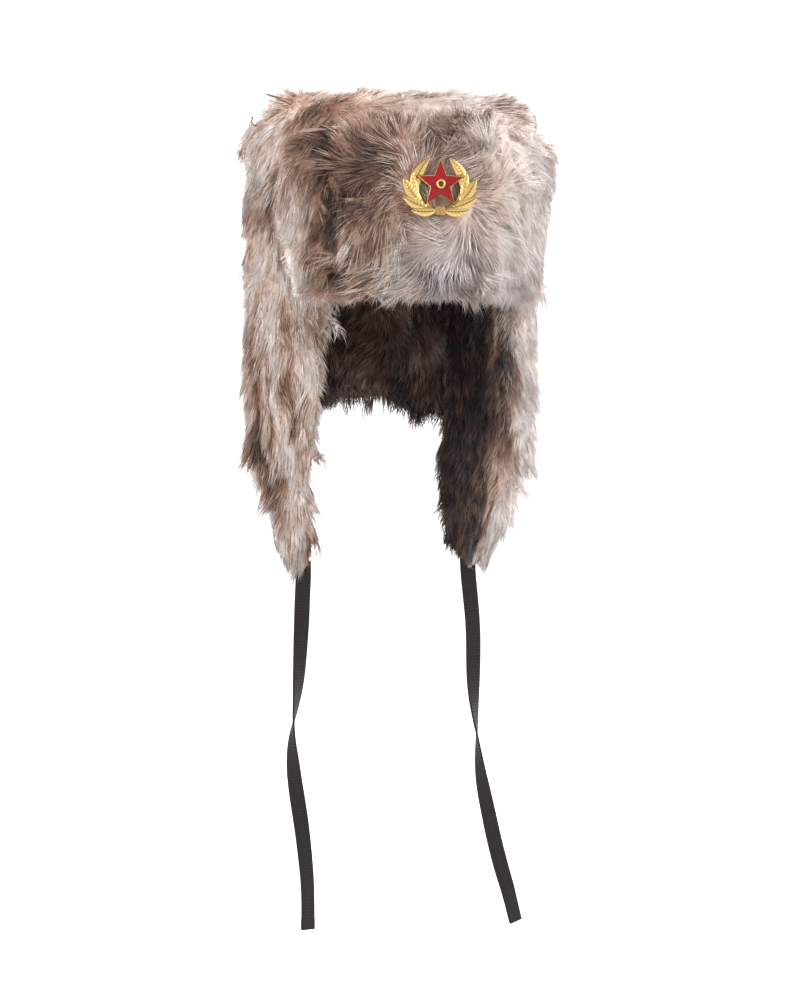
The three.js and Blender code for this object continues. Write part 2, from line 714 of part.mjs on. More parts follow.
function stalk(mirror) {
  const left = [];
  const right = [];
  STALK_ROWS.forEach((row, i) => {
    const before = STALK_ROWS[Math.max(0, i - 1)];
    const after = STALK_ROWS[Math.min(STALK_ROWS.length - 1, i + 1)];
    const way = new THREE.Vector2(after.x - before.x, after.y - before.y).normalize();
    const side = new THREE.Vector2(-way.y, way.x).multiplyScalar(row.width / 2);
    left.push(new THREE.Vector2(mirror * (row.x + side.x), row.y + side.y));
    right.unshift(new THREE.Vector2(mirror * (row.x - side.x), row.y - side.y));
  });
  return extruded(new THREE.Shape([...left, ...right]), STALK_THICK);
}

function bossRing() {
  const shape = new THREE.Shape();
  shape.absarc(0, 0, BOSS.radius, 0, 2 * Math.PI);
  const ring = extruded(shape, BOSS.thick, ENAMEL_PEAK + GAP);
  const dish = rod(BOSS.hole, ENAMEL_PEAK + GAP + BOSS.thick * 0.5, ENAMEL_PEAK + 3);
  return ring.subtract(dish).add(rod(BOSS.stem, STAR_PLATE / 2, ENAMEL_PEAK + GAP + 0.2));
}

function badgeMetal(postLength) {
  const border = starShape(STAR_RADIUS);
  border.holes.push(new THREE.Path(starShape(starInside(STAR_BORDER)).getPoints().reverse()));
  const pieces = [
    extruded(starShape(STAR_RADIUS - 0.2), STAR_PLATE),
    extruded(border, STAR_RIM),
    bossRing(),
    rod(POST_RADIUS, -postLength, STAR_PLATE / 2),
  ];
  for (const mirror of [-1, 1]) {
    pieces.push(stalk(mirror), ...LEAF_ROWS.map((row) => leaf(row, mirror)));
  }
  const band = new THREE.BoxGeometry(BAND.width, BAND.height, BAND.thick);
  pieces.push(solidFromGeometry(band.translate(0, BAND.y, BAND.thick / 2)));
  return fuse(pieces);
}

// The enamel rises in facets from its edge to a ridge along each point
function badgeEnamel() {
  const outline = starShape(starInside(STAR_BORDER + GAP)).getPoints().slice(0, 10);
  const low = STAR_PLATE + GAP;
  const points = [
    ...outline.map(({ x, y }) => new THREE.Vector3(x, y, low)),
    ...outline.map(({ x, y }) => new THREE.Vector3(x, y, ENAMEL_EDGE)),
    new THREE.Vector3(0, 0, low),
    new THREE.Vector3(0, 0, ENAMEL_PEAK),
  ];
  const faces = [];
  outline.forEach((_, i) => {
    const next = (i + 1) % outline.length;
    quad(faces, i, next, 10 + next, 10 + i);
    faces.push([10 + i, 10 + next, 21], [next, i, 20]);
  });
  return solidFrom(points, faces).subtract(rod(BOSS.stem + GAP, 0, ENAMEL_PEAK + 1));
}

function pocketSpace(grow) {
  const shape = new THREE.Shape();
  shape.absellipse(0, 0, POCKET.halfWidth, POCKET.halfHeight, 0, 2 * Math.PI);
  const recess = extruded(shape, 20, POCKET.out - BADGE.out);
  const space = recess.add(rod(POST_RADIUS + grow, -60, 0));
  return space.rotate([90, 0, 0]).translate([BADGE.side, -BADGE.out, BADGE.up]);
}

// Materials
const material = (color, roughness, metalness = 0) =>
  new THREE.MeshStandardMaterial({ color, roughness, metalness, flatShading: true });
const cloth = material(0x2a2420, 0.9);
const furGrey = material(0x9c8b80, 0.95);
const furBrown = material(0x8a6f60, 0.95);
const furDark = material(0x5a4a42, 0.95);
const ribbon = material(0x2b2524, 0.8);
const gilt = material(0xd9b25a, 0.3, 1);
const redEnamel = material(0xb3182a, 0.2);

function meshFrom(name, solid, finish) {
  const { vertProperties, triVerts } = solid.getMesh();
  const geometry = new THREE.BufferGeometry();
  geometry.setAttribute('position', new THREE.BufferAttribute(new Float32Array(vertProperties), 3));
  geometry.setIndex(new THREE.BufferAttribute(new Uint32Array(triVerts), 1));
  geometry.computeVertexNormals();
  const mesh = new THREE.Mesh(geometry, finish);
  mesh.name = name;
  return mesh;
}

// Assembly

function buildCrown() {
  const group = new THREE.Group();
  const fur = mainBody(crownFur().subtract(flapSpace(GAP)).subtract(belowRim()));
  group.add(meshFrom('crown_wall', crownShell(() => 0, () => WALL), cloth));
  group.add(meshFrom('crown_fur', fur, furGrey));
  return group;
}

// A box over the whole hat from one height to another
function layer(low, high) {
  const box = new THREE.BoxGeometry(LAYER_SIDE, LAYER_SIDE, high - low);
  return solidFromGeometry(box.translate(0, 0, (low + high) / 2));
}

// Everything below the level of the crown's rim
function belowRim() {
  return layer(CROWN_ROWS[0].height - LAYER_DEPTH, CROWN_ROWS[0].height);
}

// Everything above the level where the hanging flaps begin
function aboveRim() {
  return layer(EAR_ROWS[0].height, EAR_ROWS[0].height + LAYER_DEPTH);
}

function buildFrontFlap() {
  const group = new THREE.Group();
  const half = () => FLAP_CLOTH / 2;
  const wall = slab(flapSurface(0, 0, 0), FLAP_COLUMNS, FLAP_LEVELS, half, half);
  const fur = flapFur().intersect(flapSpace(0)).subtract(pocketSpace(GAP));
  group.add(meshFrom('front_flap_wall', wall, cloth));
  group.add(meshFrom('front_flap_fur', mainBody(fur), furBrown));
  return group;
}

// The space that belongs to the neck flap and its fur
function neckSpace(spread) {
  const surface = neckSurface(spread, NECK_SPACE.past, NECK_SPACE.past + spread);
  const depth = () => NECK_SPACE.depth;
  return slab(surface, NECK_COLUMNS, NECK_SPACE.levels, depth, depth);
}

function buildEarFlap(name, side, rows) {
  const group = new THREE.Group();
  const half = () => WALL / 2;
  const levels = EAR_ROWS.length - 1;
  const wall = slab(earSurface(side, 0, 0, 0), EAR_COLUMNS, levels, half, half);
  const fur = earFur(side, EAR_LOCK_SEEDS[name])
    .subtract(flapSpace(GAP))
    .subtract(neckSpace(NECK_SPACE.beside))
    .subtract(aboveRim())
    .subtract(tieRibbon(side, rows, GAP + 0.2));
  group.add(meshFrom(`ear_flap_${name}_wall`, wall, cloth));
  group.add(meshFrom(`ear_flap_${name}_fur`, mainBody(fur), furBrown));
  group.add(meshFrom(`tie_${name}`, tieRibbon(side, rows, 0), ribbon));
  return group;
}

function buildNeckFlap() {
  const group = new THREE.Group();
  const half = () => WALL / 2;
  const wall = slab(neckSurface(0, 0, 0), NECK_COLUMNS, NECK_LEVELS, half, half);
  const fur = neckFur().intersect(neckSpace(-NECK_SPACE.within)).subtract(aboveRim());
  group.add(meshFrom('neck_flap_wall', wall, cloth));
  group.add(meshFrom('neck_flap_fur', mainBody(fur), furDark));
  return group;
}

function buildBadge() {
  const group = new THREE.Group();
  const wallFace = -flapPoint(0, BADGE.up).y + FLAP_CLOTH / 2;
  group.add(meshFrom('badge', badgeMetal(BADGE.out - wallFace - GAP), gilt));
  group.add(meshFrom('badge_enamel', badgeEnamel(), redEnamel));
  group.position.set(BADGE.side, -BADGE.out, BADGE.up);
  group.rotation.x = Math.PI / 2;
  return group;
}

const ushanka = new THREE.Group();
ushanka.name = 'ushanka';
ushanka.add(
  buildCrown(),
  buildFrontFlap(),
  buildEarFlap('left', 1, TIE_LEFT_ROWS),
  buildEarFlap('right', -1, TIE_RIGHT_ROWS),
  buildNeckFlap(),
  buildBadge(),
);

export default ushanka;
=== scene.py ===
"""A fur ushanka with its front flap turned up, its ear flaps and ties hanging, and a gilt badge.

Metres, +Z up. The front faces -Y, the wearer's left side is +X, and the origin is the middle of
the head opening. Angles round the head are counted from the middle of the front.
"""

import json
import logging
import math
from collections.abc import Callable
from dataclasses import dataclass, fields
from enum import Enum

import bpy
import numpy as np
from bpy.types import Material, Node, NodeSocket, NodeTree, Object
from mathutils import Matrix, Vector
from mathutils.bvhtree import BVHTree
from mathutils.kdtree import KDTree

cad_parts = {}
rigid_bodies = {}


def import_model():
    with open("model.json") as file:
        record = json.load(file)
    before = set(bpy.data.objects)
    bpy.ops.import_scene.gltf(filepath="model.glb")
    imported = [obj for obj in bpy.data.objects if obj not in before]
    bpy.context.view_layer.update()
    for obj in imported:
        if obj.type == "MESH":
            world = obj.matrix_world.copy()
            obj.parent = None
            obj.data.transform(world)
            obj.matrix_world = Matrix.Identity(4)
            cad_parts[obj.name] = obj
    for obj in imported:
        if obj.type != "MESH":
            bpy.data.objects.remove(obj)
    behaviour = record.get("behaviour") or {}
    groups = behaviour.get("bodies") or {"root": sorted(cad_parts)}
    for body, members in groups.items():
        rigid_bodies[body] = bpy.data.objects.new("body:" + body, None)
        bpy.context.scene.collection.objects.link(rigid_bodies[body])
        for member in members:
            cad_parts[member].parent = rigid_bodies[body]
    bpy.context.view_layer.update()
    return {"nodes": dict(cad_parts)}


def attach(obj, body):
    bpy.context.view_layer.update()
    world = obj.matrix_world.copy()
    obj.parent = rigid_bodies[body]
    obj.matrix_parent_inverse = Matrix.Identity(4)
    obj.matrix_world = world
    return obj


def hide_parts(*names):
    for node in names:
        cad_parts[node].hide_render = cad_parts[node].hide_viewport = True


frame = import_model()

log = logging.getLogger("ushanka")

MM = 0.001
MERGE_DISTANCE = 1e-5
UP = np.array((0.0, 0.0, 1.0))
DOWN = -UP

# Half the angle between two points of the star
HALF_POINT = math.pi / 5

# Half the crown's width and length, along X and Y
CROWN_HALF = (0.083, 0.102)

# How far the seam under the crown is felt above and below it
SEAM_REACH = 0.009

# What turns bands to each metre into a wave texture's scale
BANDS_PER_METRE = 6.283

Array = np.ndarray
Colour = tuple[float, float, float]


class Side(Enum):
    """The wearer's own sides, as the sign of X."""

    RIGHT = -1
    LEFT = 1


class Slot(Enum):
    """The record's material slots."""

    FUR = "fur"
    CLOTH = "cloth"
    RIBBON = "ribbon"
    GILT = "gilt"
    ENAMEL = "enamel"


def linear(red: float, green: float, blue: float) -> Colour:
    """Turns a screen colour into linear light.

    Args:
        red, green, blue: the colour from 0 to 255.

    Returns:
        The same colour in linear light, from 0 to 1.
    """
    return tuple(
        (c / 255 / 12.92) if c / 255 <= 0.04045 else ((c / 255 + 0.055) / 1.055) ** 2.4
        for c in (red, green, blue)
    )


def smoothstep(low: float, high: float, value: Array) -> Array:
    """A soft step from 0 at low to 1 at high, which may be the smaller of the two."""
    share = np.clip((value - low) / (high - low), 0, 1)
    return share * share * (3 - 2 * share)


def bell(value: Array, width: float) -> Array:
    """A soft bump that is 1 at a value of 0 and falls away over the width."""
    return np.exp(-((value / width) ** 2))


def blend(first: Array, second: Array, share: Array) -> Array:
    """The first where the share is 0, the second where it is 1, and between them elsewhere."""
    return first + (second - first) * share


def unit(vectors: Array) -> Array:
    """The vectors at length 1."""
    return vectors / np.maximum(np.linalg.norm(vectors, axis=-1, keepdims=True), 1e-9)


def along(vectors: Array, others: Array) -> Array:
    """The dot product of each pair, as a column."""
    return np.sum(vectors * others, axis=-1, keepdims=True)


def across_view(points: Array) -> Array:
    """How far to the right each point lies as seen from the photograph's side."""
    return 0.978 * points[:, 0] - 0.208 * points[:, 1]


def round_head(points: Array) -> Array:
    """The angle of each point from the middle of the front, from 0 to 180 degrees."""
    return np.degrees(np.arctan2(np.abs(points[:, 0]), -points[:, 1]))


# Objects and meshes


def work_on(piece: Object) -> None:
    """Deselects everything and makes the piece the one that operators act on."""
    for other in bpy.context.view_layer.objects:
        other.select_set(False)
    piece.select_set(True)
    bpy.context.view_layer.objects.active = piece


def array_of(
    items: bpy.types.bpy_prop_collection, name: str, width: int = 1, kind: type = np.float32
) -> Array:
    """Reads one property of many items.

    Args:
        items: a mesh's vertices, corners, faces or the like.
        name: the property.
        width: how many numbers it has.
        kind: the kind of number.

    Returns:
        A row for each item, or a plain array where the width is 1.
    """
    values = np.empty(len(items) * width, kind)
    items.foreach_get(name, values)
    return values.reshape(-1, width) if width > 1 else values


def store(
    items: bpy.types.bpy_prop_collection, name: str, values: Array, kind: type = np.float32
) -> None:
    """Writes one property of many items, the way array_of reads it."""
    items.foreach_set(name, np.ascontiguousarray(values, kind).ravel())


def mesh_object(name: str, points: Array, loops: Array, starts: Array, uvs: Array | None) -> Object:
    """Makes an object at the origin from arrays.

    Args:
        name: the piece's name.
        points: its vertices.
        loops: the vertex of each face corner.
        starts: the first corner of each face.
        uvs: the place of each corner on the unrolled piece, if it has one.

    Returns:
        The object, smooth all over.
    """
    mesh = bpy.data.meshes.new(name)
    mesh.vertices.add(len(points))
    store(mesh.vertices, "co", points)
    mesh.loops.add(len(loops))
    store(mesh.loops, "vertex_index", loops, np.int32)
    mesh.polygons.add(len(starts))
    store(mesh.polygons, "loop_start", starts, np.int32)
    store(mesh.polygons, "use_smooth", np.ones(len(starts)), bool)
    mesh.update(calc_edges=True)
    if uvs is not None:
        store(mesh.uv_layers.new(name="OFBake").uv, "vector", uvs)
    mesh.validate()
    piece = bpy.data.objects.new(name, mesh)
    bpy.context.scene.collection.objects.link(piece)
    return piece


def grid_object(name: str, grid: Array, uvs: Array | None = None) -> Object:
    """Closes rows of rings into one solid, with a flat face at each end.

    Args:
        name: the piece's name.
        grid: the rings' points, rows by columns by 3, each ring closed on itself.
        uvs: the place of each grid point on the unrolled piece, rows by columns + 1 by 2.

    Returns:
        The object.
    """
    rows, columns = grid.shape[:2]
    row, column = np.meshgrid(np.arange(rows - 1), np.arange(columns), indexing="ij")
    after = (column + 1) % columns
    corners = [row * columns + column, row * columns + after]
    corners += [(row + 1) * columns + after, (row + 1) * columns + column]
    sides = np.stack(corners, axis=-1).reshape(-1)
    first = np.arange(columns)[::-1]
    last = (rows - 1) * columns + np.arange(columns)
    loops = np.concatenate((sides, first, last))
    starts = np.concatenate((np.arange(0, len(sides), 4), [len(sides), len(sides) + columns]))
    flat = None
    if uvs is not None:
        places = [uvs[row, column], uvs[row, column + 1]]
        places += [uvs[row + 1, column + 1], uvs[row + 1, column]]
        turn = 2 * math.pi * np.arange(columns) / columns
        disc = np.stack((np.cos(turn), np.sin(turn)), axis=-1) * 0.004
        near = disc[::-1] + (0.99, 0.01)
        far = disc + (0.99, 0.03)
        flat = np.concatenate((np.stack(places, axis=2).reshape(-1, 2), near, far))
    return mesh_object(name, grid.reshape(-1, 3), loops, starts, flat)


def basic_form(add: Callable, **sizes: object) -> Object:
    """Adds a circle, a cylinder or the like at the origin and returns it."""
    bpy.ops.object.select_all(action="DESELECT")
    add(location=(0, 0, 0), **sizes)
    return bpy.context.active_object


def edit_all(piece: Object) -> None:
    """Opens the piece in edit mode with all of it selected."""
    work_on(piece)
    bpy.ops.object.mode_set(mode="EDIT")
    bpy.ops.mesh.select_all(action="SELECT")


def extrude(height: float) -> None:
    """Draws the selected faces of the piece in edit mode up by this height."""
    bpy.ops.mesh.extrude_region_move(TRANSFORM_OT_translate={"value": (0, 0, height)})


def turn_outwards() -> None:
    """Turns the faces of the piece in edit mode outwards and leaves edit mode."""
    bpy.ops.mesh.select_all(action="SELECT")
    bpy.ops.mesh.normals_make_consistent(inside=False)
    bpy.ops.object.mode_set(mode="OBJECT")


def copy_of_node(node: str, name: str) -> Object:
    """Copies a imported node's mesh into an object of its own, with loose corners merged.

    Args:
        node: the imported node.
        name: the copy's name.

    Returns:
        The copy, at the origin.
    """
    piece = bpy.data.objects.new(name, frame["nodes"][node].data.copy())
    piece.data.name = name
    piece.data.materials.clear()
    bpy.context.scene.collection.objects.link(piece)
    work_on(piece)
    bpy.ops.mesh.customdata_custom_splitnormals_clear()
    edit_all(piece)
    bpy.ops.mesh.remove_doubles(threshold=MERGE_DISTANCE)
    bpy.ops.object.mode_set(mode="OBJECT")
    return piece


def apply_modifier(piece: Object, kind: str, **settings: object) -> None:
    """Adds a modifier with these settings and applies it."""
    work_on(piece)
    modifier = piece.modifiers.new(kind.title(), kind)
    for name, value in settings.items():
        setattr(modifier, name, value)
    bpy.ops.object.modifier_apply(modifier=modifier.name)


def vertices_of(piece: Object) -> Array:
    """The piece's vertices as an array."""
    return array_of(piece.data.vertices, "co", 3).astype(float)


def normals_of(piece: Object) -> Array:
    """The piece's vertex normals as an array."""
    return array_of(piece.data.vertex_normals, "vector", 3).astype(float)


def move_vertices(piece: Object, points: Array) -> None:
    """Puts the piece's vertices at these points."""
    store(piece.data.vertices, "co", points)
    piece.data.update()


def tree_of(nodes: tuple[str, ...]) -> BVHTree:
    """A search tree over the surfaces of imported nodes."""
    points, faces = [], []
    for node in nodes:
        mesh = frame["nodes"][node].data
        offset = len(points)
        points += [v.co.copy() for v in mesh.vertices]
        faces += [[offset + i for i in p.vertices] for p in mesh.polygons]
    return BVHTree.FromPolygons(points, faces)


def look_along(name: str, data: bpy.types.ID, place: Vector, towards: Vector) -> Object:
    """Puts a camera or a lamp in its place and points it in a direction."""
    holder = bpy.data.objects.new(name, data)
    holder.location = place
    holder.rotation_euler = towards.to_track_quat("-Z", "Y").to_euler()
    bpy.context.scene.collection.objects.link(holder)
    return holder


def finish_piece(piece: Object, material: Material, nodes: tuple[str, ...]) -> Object:
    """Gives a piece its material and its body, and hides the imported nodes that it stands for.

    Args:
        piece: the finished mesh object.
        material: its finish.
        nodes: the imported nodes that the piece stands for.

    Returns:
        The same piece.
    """
    piece.data.materials.clear()
    piece.data.materials.append(material)
    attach(piece, "root")
    if nodes:
        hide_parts(*nodes)
    piece.data.calc_loop_triangles()
    log.info("%s: %d triangles", piece.name, len(piece.data.loop_triangles))
    return piece


# Noise


@dataclass(frozen=True)
class Mottle:
    """Smooth noise in space, the same on each run.

    Attributes:
        size: the width of its patches along X, Y and Z.
        seed: a number that sets one mottle apart from another.
    """

    size: tuple[float, float, float]
    seed: int

    def at(self, points: Array) -> Array:
        """The noise at each point, from 0 to 1."""
        scaled = points / np.array(self.size) + 1000
        cell = np.floor(scaled).astype(np.int64)
        share = scaled - cell
        share = share * share * (3 - 2 * share)
        total = np.zeros(len(points))
        for corner in range(8):
            step = np.array((corner & 1, corner >> 1 & 1, corner >> 2 & 1))
            weight = np.prod(np.where(step, share, 1 - share), axis=1)
            total += weight * self._lattice(cell + step)
        return total

    def _lattice(self, cell: Array) -> Array:
        """A number from 0 to 1 for each cell of the lattice."""
        mask = 0xFFFFFFFF
        mixed = cell[:, 0] * 374761393 + cell[:, 1] * 668265263 + cell[:, 2] * 1440662683
        mixed = (mixed + self.seed * 1274126177) & mask
        mixed = ((mixed ^ (mixed >> 13)) * 1274126177) & mask
        mixed ^= mixed >> 16
        return mixed / mask


# Finishes


def feed(tree: NodeTree, node: Node, inputs: dict) -> None:
    """Sets a node's inputs, each to a value or to another node's socket."""
    for name, value in inputs.items():
        if isinstance(value, NodeSocket):
            tree.links.new(value, node.inputs[name])
        else:
            node.inputs[name].default_value = value


def add_node(tree: NodeTree, kind: str, inputs: dict | None = None, **settings: object) -> Node:
    """Adds a shader node.

    Args:
        tree: the material's or the group's tree.
        kind: the node's kind, without the prefix that all of them share.
        inputs: its inputs, each a value or another node's socket.
        settings: its other settings.

    Returns:
        The node.
    """
    node = tree.nodes.new(f"ShaderNode{kind}")
    for name, value in settings.items():
        setattr(node, name, value)
    feed(tree, node, inputs or {})
    return node


def computed(tree: NodeTree, operation: str, *values: object) -> NodeSocket:
    """The sum, product or the like of values and sockets."""
    return add_node(tree, "Math", dict(enumerate(values)), operation=operation).outputs[0]


def mottle_group() -> NodeTree:
    """The node group of broad and fine blotches, as a value about 1 and a plain height."""
    group = bpy.data.node_groups.new("blotches", "ShaderNodeTree")
    sockets = {"INPUT": ("Broad Scale", "Fine Scale", "Depth"), "OUTPUT": ("Tone", "Height")}
    for way, names in sockets.items():
        for name in names:
            group.interface.new_socket(name, in_out=way, socket_type="NodeSocketFloat")
    given = group.nodes.new("NodeGroupInput").outputs
    place = add_node(group, "TexCoord").outputs["Object"]
    broad, fine = (
        add_node(group, "TexNoise", {"Detail": 3, "Vector": place, "Scale": scale}).outputs["Fac"]
        for scale in (given["Broad Scale"], given["Fine Scale"])
    )
    centred = computed(group, "SUBTRACT", computed(group, "ADD", broad, fine), 1)
    tone = computed(group, "MULTIPLY_ADD", centred, given["Depth"], 1)
    feed(group, group.nodes.new("NodeGroupOutput"), {"Tone": tone, "Height": fine})
    return group


class Shading:
    """A material in the making.

    Attributes:
        material: the material.
        tree: its node tree.
        shader: its Principled shader.
        tone, height: its own blotches, as a value about 1 and as one from 0 to 1.
    """

    def __init__(self, name: str, broad: float, fine: float, depth: float) -> None:
        """Starts a material.

        Args:
            name: the material's name.
            broad, fine: how many of its blotches go to a metre.
            depth: how strong they are.
        """
        self.material = bpy.data.materials.new(name)
        self.material.use_nodes = True
        self.tree = self.material.node_tree
        self.shader = next(n for n in self.tree.nodes if n.type == "BSDF_PRINCIPLED")
        group = bpy.data.node_groups.get("blotches") or mottle_group()
        scales = {"Broad Scale": broad, "Fine Scale": fine, "Depth": depth}
        blotches = add_node(self.tree, "Group", scales, node_tree=group).outputs
        self.tone, self.height = blotches["Tone"], blotches["Height"]

    def plain(self, colour: Colour) -> NodeSocket:
        """One colour."""
        node = add_node(self.tree, "RGB")
        node.outputs[0].default_value = (*colour, 1)
        return node.outputs[0]

    def stored(self, name: str, output: str) -> NodeSocket:
        """What the mesh stores under this name."""
        return add_node(self.tree, "Attribute", attribute_name=name).outputs[output]

    def mix(self, first: Colour, second: Colour, share: NodeSocket) -> NodeSocket:
        """A mix of two colours, with the second one's share."""
        inputs = {"A": (*first, 1), "B": (*second, 1), "Factor": share}
        return add_node(self.tree, "Mix", inputs, data_type="RGBA").outputs["Result"]

    def blotched(self, colour: NodeSocket) -> NodeSocket:
        """The colour, paler and darker with the blotches."""
        inputs = {0: colour, 1: self.tone}
        return add_node(self.tree, "VectorMath", inputs, operation="MULTIPLY").outputs[0]

    def spread(self, value: NodeSocket, low: float, high: float) -> NodeSocket:
        """A value from 0 to 1, spread over low to high."""
        inputs = {"Value": value, "To Min": low, "To Max": high}
        return add_node(self.tree, "MapRange", inputs).outputs["Result"]

    def bands(self, place: NodeSocket, direction: str, inputs: dict[str, float]) -> NodeSocket:
        """Bands across one direction of the place, from 0 to 1."""
        inputs = {**inputs, "Vector": place}
        return add_node(self.tree, "TexWave", inputs, bands_direction=direction).outputs["Fac"]

    def bump(self, height: NodeSocket, strength: float, distance: float) -> NodeSocket:
        """The normal of a surface with this height."""
        inputs = {"Height": height, "Strength": strength, "Distance": distance}
        return add_node(self.tree, "Bump", inputs).outputs["Normal"]

    def finished(self, inputs: dict) -> Material:
        """Sets the shader's inputs and returns the material."""
        feed(self.tree, self.shader, inputs)
        return self.material


@dataclass(frozen=True)
class FurFinish:
    """Soft pile, which takes its colour from the strands' own attribute."""

    name: str = "pile"
    rough_low: float = 0.42
    rough_high: float = 0.72
    sheen: float = 0.12

    def make(self) -> Material:
        """Builds the material."""
        shading = Shading(self.name, 55, 900, 0.35)
        return shading.finished({
            "Base Color": shading.blotched(shading.stored("hair", "Color")),
            "Roughness": shading.spread(shading.height, self.rough_low, self.rough_high),
            "Sheen Weight": self.sheen,
            "Specular IOR Level": 0.35,
        })


@dataclass(frozen=True)
class ClothFinish:
    """Dark closely woven lining cloth."""

    name: str
    colour: Colour
    threads: float = 1100.0

    def make(self) -> Material:
        """Builds the material."""
        shading = Shading(self.name, 30, 700, 0.9)
        place = add_node(shading.tree, "TexCoord").outputs["Object"]
        threads = {"Scale": self.threads / BANDS_PER_METRE, "Distortion": 0.4}
        waves = [shading.bands(place, direction, threads) for direction in ("X", "Z")]
        weave = computed(shading.tree, "MAXIMUM", *waves)
        return shading.finished({
            "Base Color": shading.blotched(shading.plain(self.colour)),
            "Roughness": shading.spread(shading.height, 0.5, 0.75),
            "Normal": shading.bump(weave, 0.5, 0.0003),
            "Sheen Weight": 0.1,
        })


@dataclass(frozen=True)
class RibbonFinish:
    """Dark ribbed ribbon with a stitched selvedge, laid out along its own length."""

    name: str = "ribbon"
    ribs: float = 900.0
    colour: Colour = linear(15, 11, 10)
    worn: Colour = linear(36, 29, 27)

    def make(self) -> Material:
        """Builds the material."""
        shading = Shading(self.name, 60, 1400, 0.5)
        place = add_node(shading.tree, "UVMap", uv_map="weave").outputs["UV"]
        ribs = {"Scale": self.ribs / BANDS_PER_METRE, "Distortion": 0.6, "Detail Scale": 3}
        wave = shading.bands(place, "Y", ribs)
        wear = computed(shading.tree, "MULTIPLY", wave, shading.height)
        return shading.finished({
            "Base Color": shading.blotched(shading.mix(self.colour, self.worn, wear)),
            "Roughness": shading.spread(shading.height, 0.55, 0.85),
            "Normal": shading.bump(wave, 0.8, 0.0004),
            "Specular IOR Level": 0.25,
        })


@dataclass(frozen=True)
class GiltFinish:
    """Stamped gilt, with painted shade that darkens its hollows and the leaves round the star, and
    patchy wear elsewhere.
    """

    name: str = "gilt"
    bright: Colour = linear(206, 176, 114)
    # deep is the colour of full painted shade; bright is the gilt where no shade is painted
    deep: Colour = linear(92, 60, 24)

    def make(self) -> Material:
        """Builds the material."""
        shading = Shading(self.name, 140, 1500, 0.6)
        # The stored value is how much painted shade each vertex has, from 0 to 1
        raised = shading.spread(shading.stored("recess", "Fac"), 1.0, 0.0)
        worn = shading.spread(shading.height, 0.55, 1.0)
        unshaded_and_worn = computed(shading.tree, "MULTIPLY", raised, worn)
        return shading.finished({
            "Base Color": shading.mix(self.deep, self.bright, unshaded_and_worn),
            "Roughness": shading.spread(shading.height, 0.2, 0.42),
            "Normal": shading.bump(shading.height, 0.25, 0.0001),
            "Metallic": 1,
        })


@dataclass(frozen=True)
class EnamelFinish:
    """Glossy red enamel with a slightly cloudy depth."""

    name: str = "red_enamel"
    light: Colour = linear(150, 5, 16)
    dark: Colour = linear(100, 2, 9)

    def make(self) -> Material:
        """Builds the material."""
        shading = Shading(self.name, 90, 600, 0.8)
        return shading.finished({
            "Base Color": shading.mix(self.dark, self.light, shading.tone),
            "Roughness": shading.spread(shading.height, 0.1, 0.2),
            "Specular IOR Level": 0.1,
            "Coat Weight": 0.3,
            "Coat Roughness": 0.05,
        })


# The studio


@dataclass
class Viewpoint:
    """The camera, at the photograph's angle and distance."""

    azimuth: float = -12.0
    elevation: float = 3.0
    distance: float = 2.0
    aim_side: float = 0.0063
    aim_height: float = -0.1533
    lens: float = 68.57
    sensor: float = 24.0

    def place(self) -> None:
        """Makes the scene's camera."""
        turn, rise = math.radians(self.azimuth), math.radians(self.elevation)
        level = math.cos(rise)
        back = Vector((math.sin(turn) * level, -math.cos(turn) * level, math.sin(rise)))
        right = Vector((math.cos(turn), math.sin(turn), 0))
        aim = right * self.aim_side + Vector((0, 0, self.aim_height))
        data = bpy.data.cameras.new("camera")
        data.sensor_width = self.sensor
        data.lens = self.lens
        place = aim + back * self.distance
        bpy.context.scene.camera = look_along("camera", data, place, -back)


@dataclass(frozen=True)
class SoftBox:
    """A large soft lamp that looks at the hat."""

    name: str
    place: tuple[float, float, float]
    size: float
    power: float

    def light(self) -> None:
        """Makes the lamp."""
        data = bpy.data.lights.new(self.name, "AREA")
        data.shape = "SQUARE"
        data.size = self.size
        data.energy = self.power
        place = Vector(self.place)
        look_along(self.name, data, place, -place)


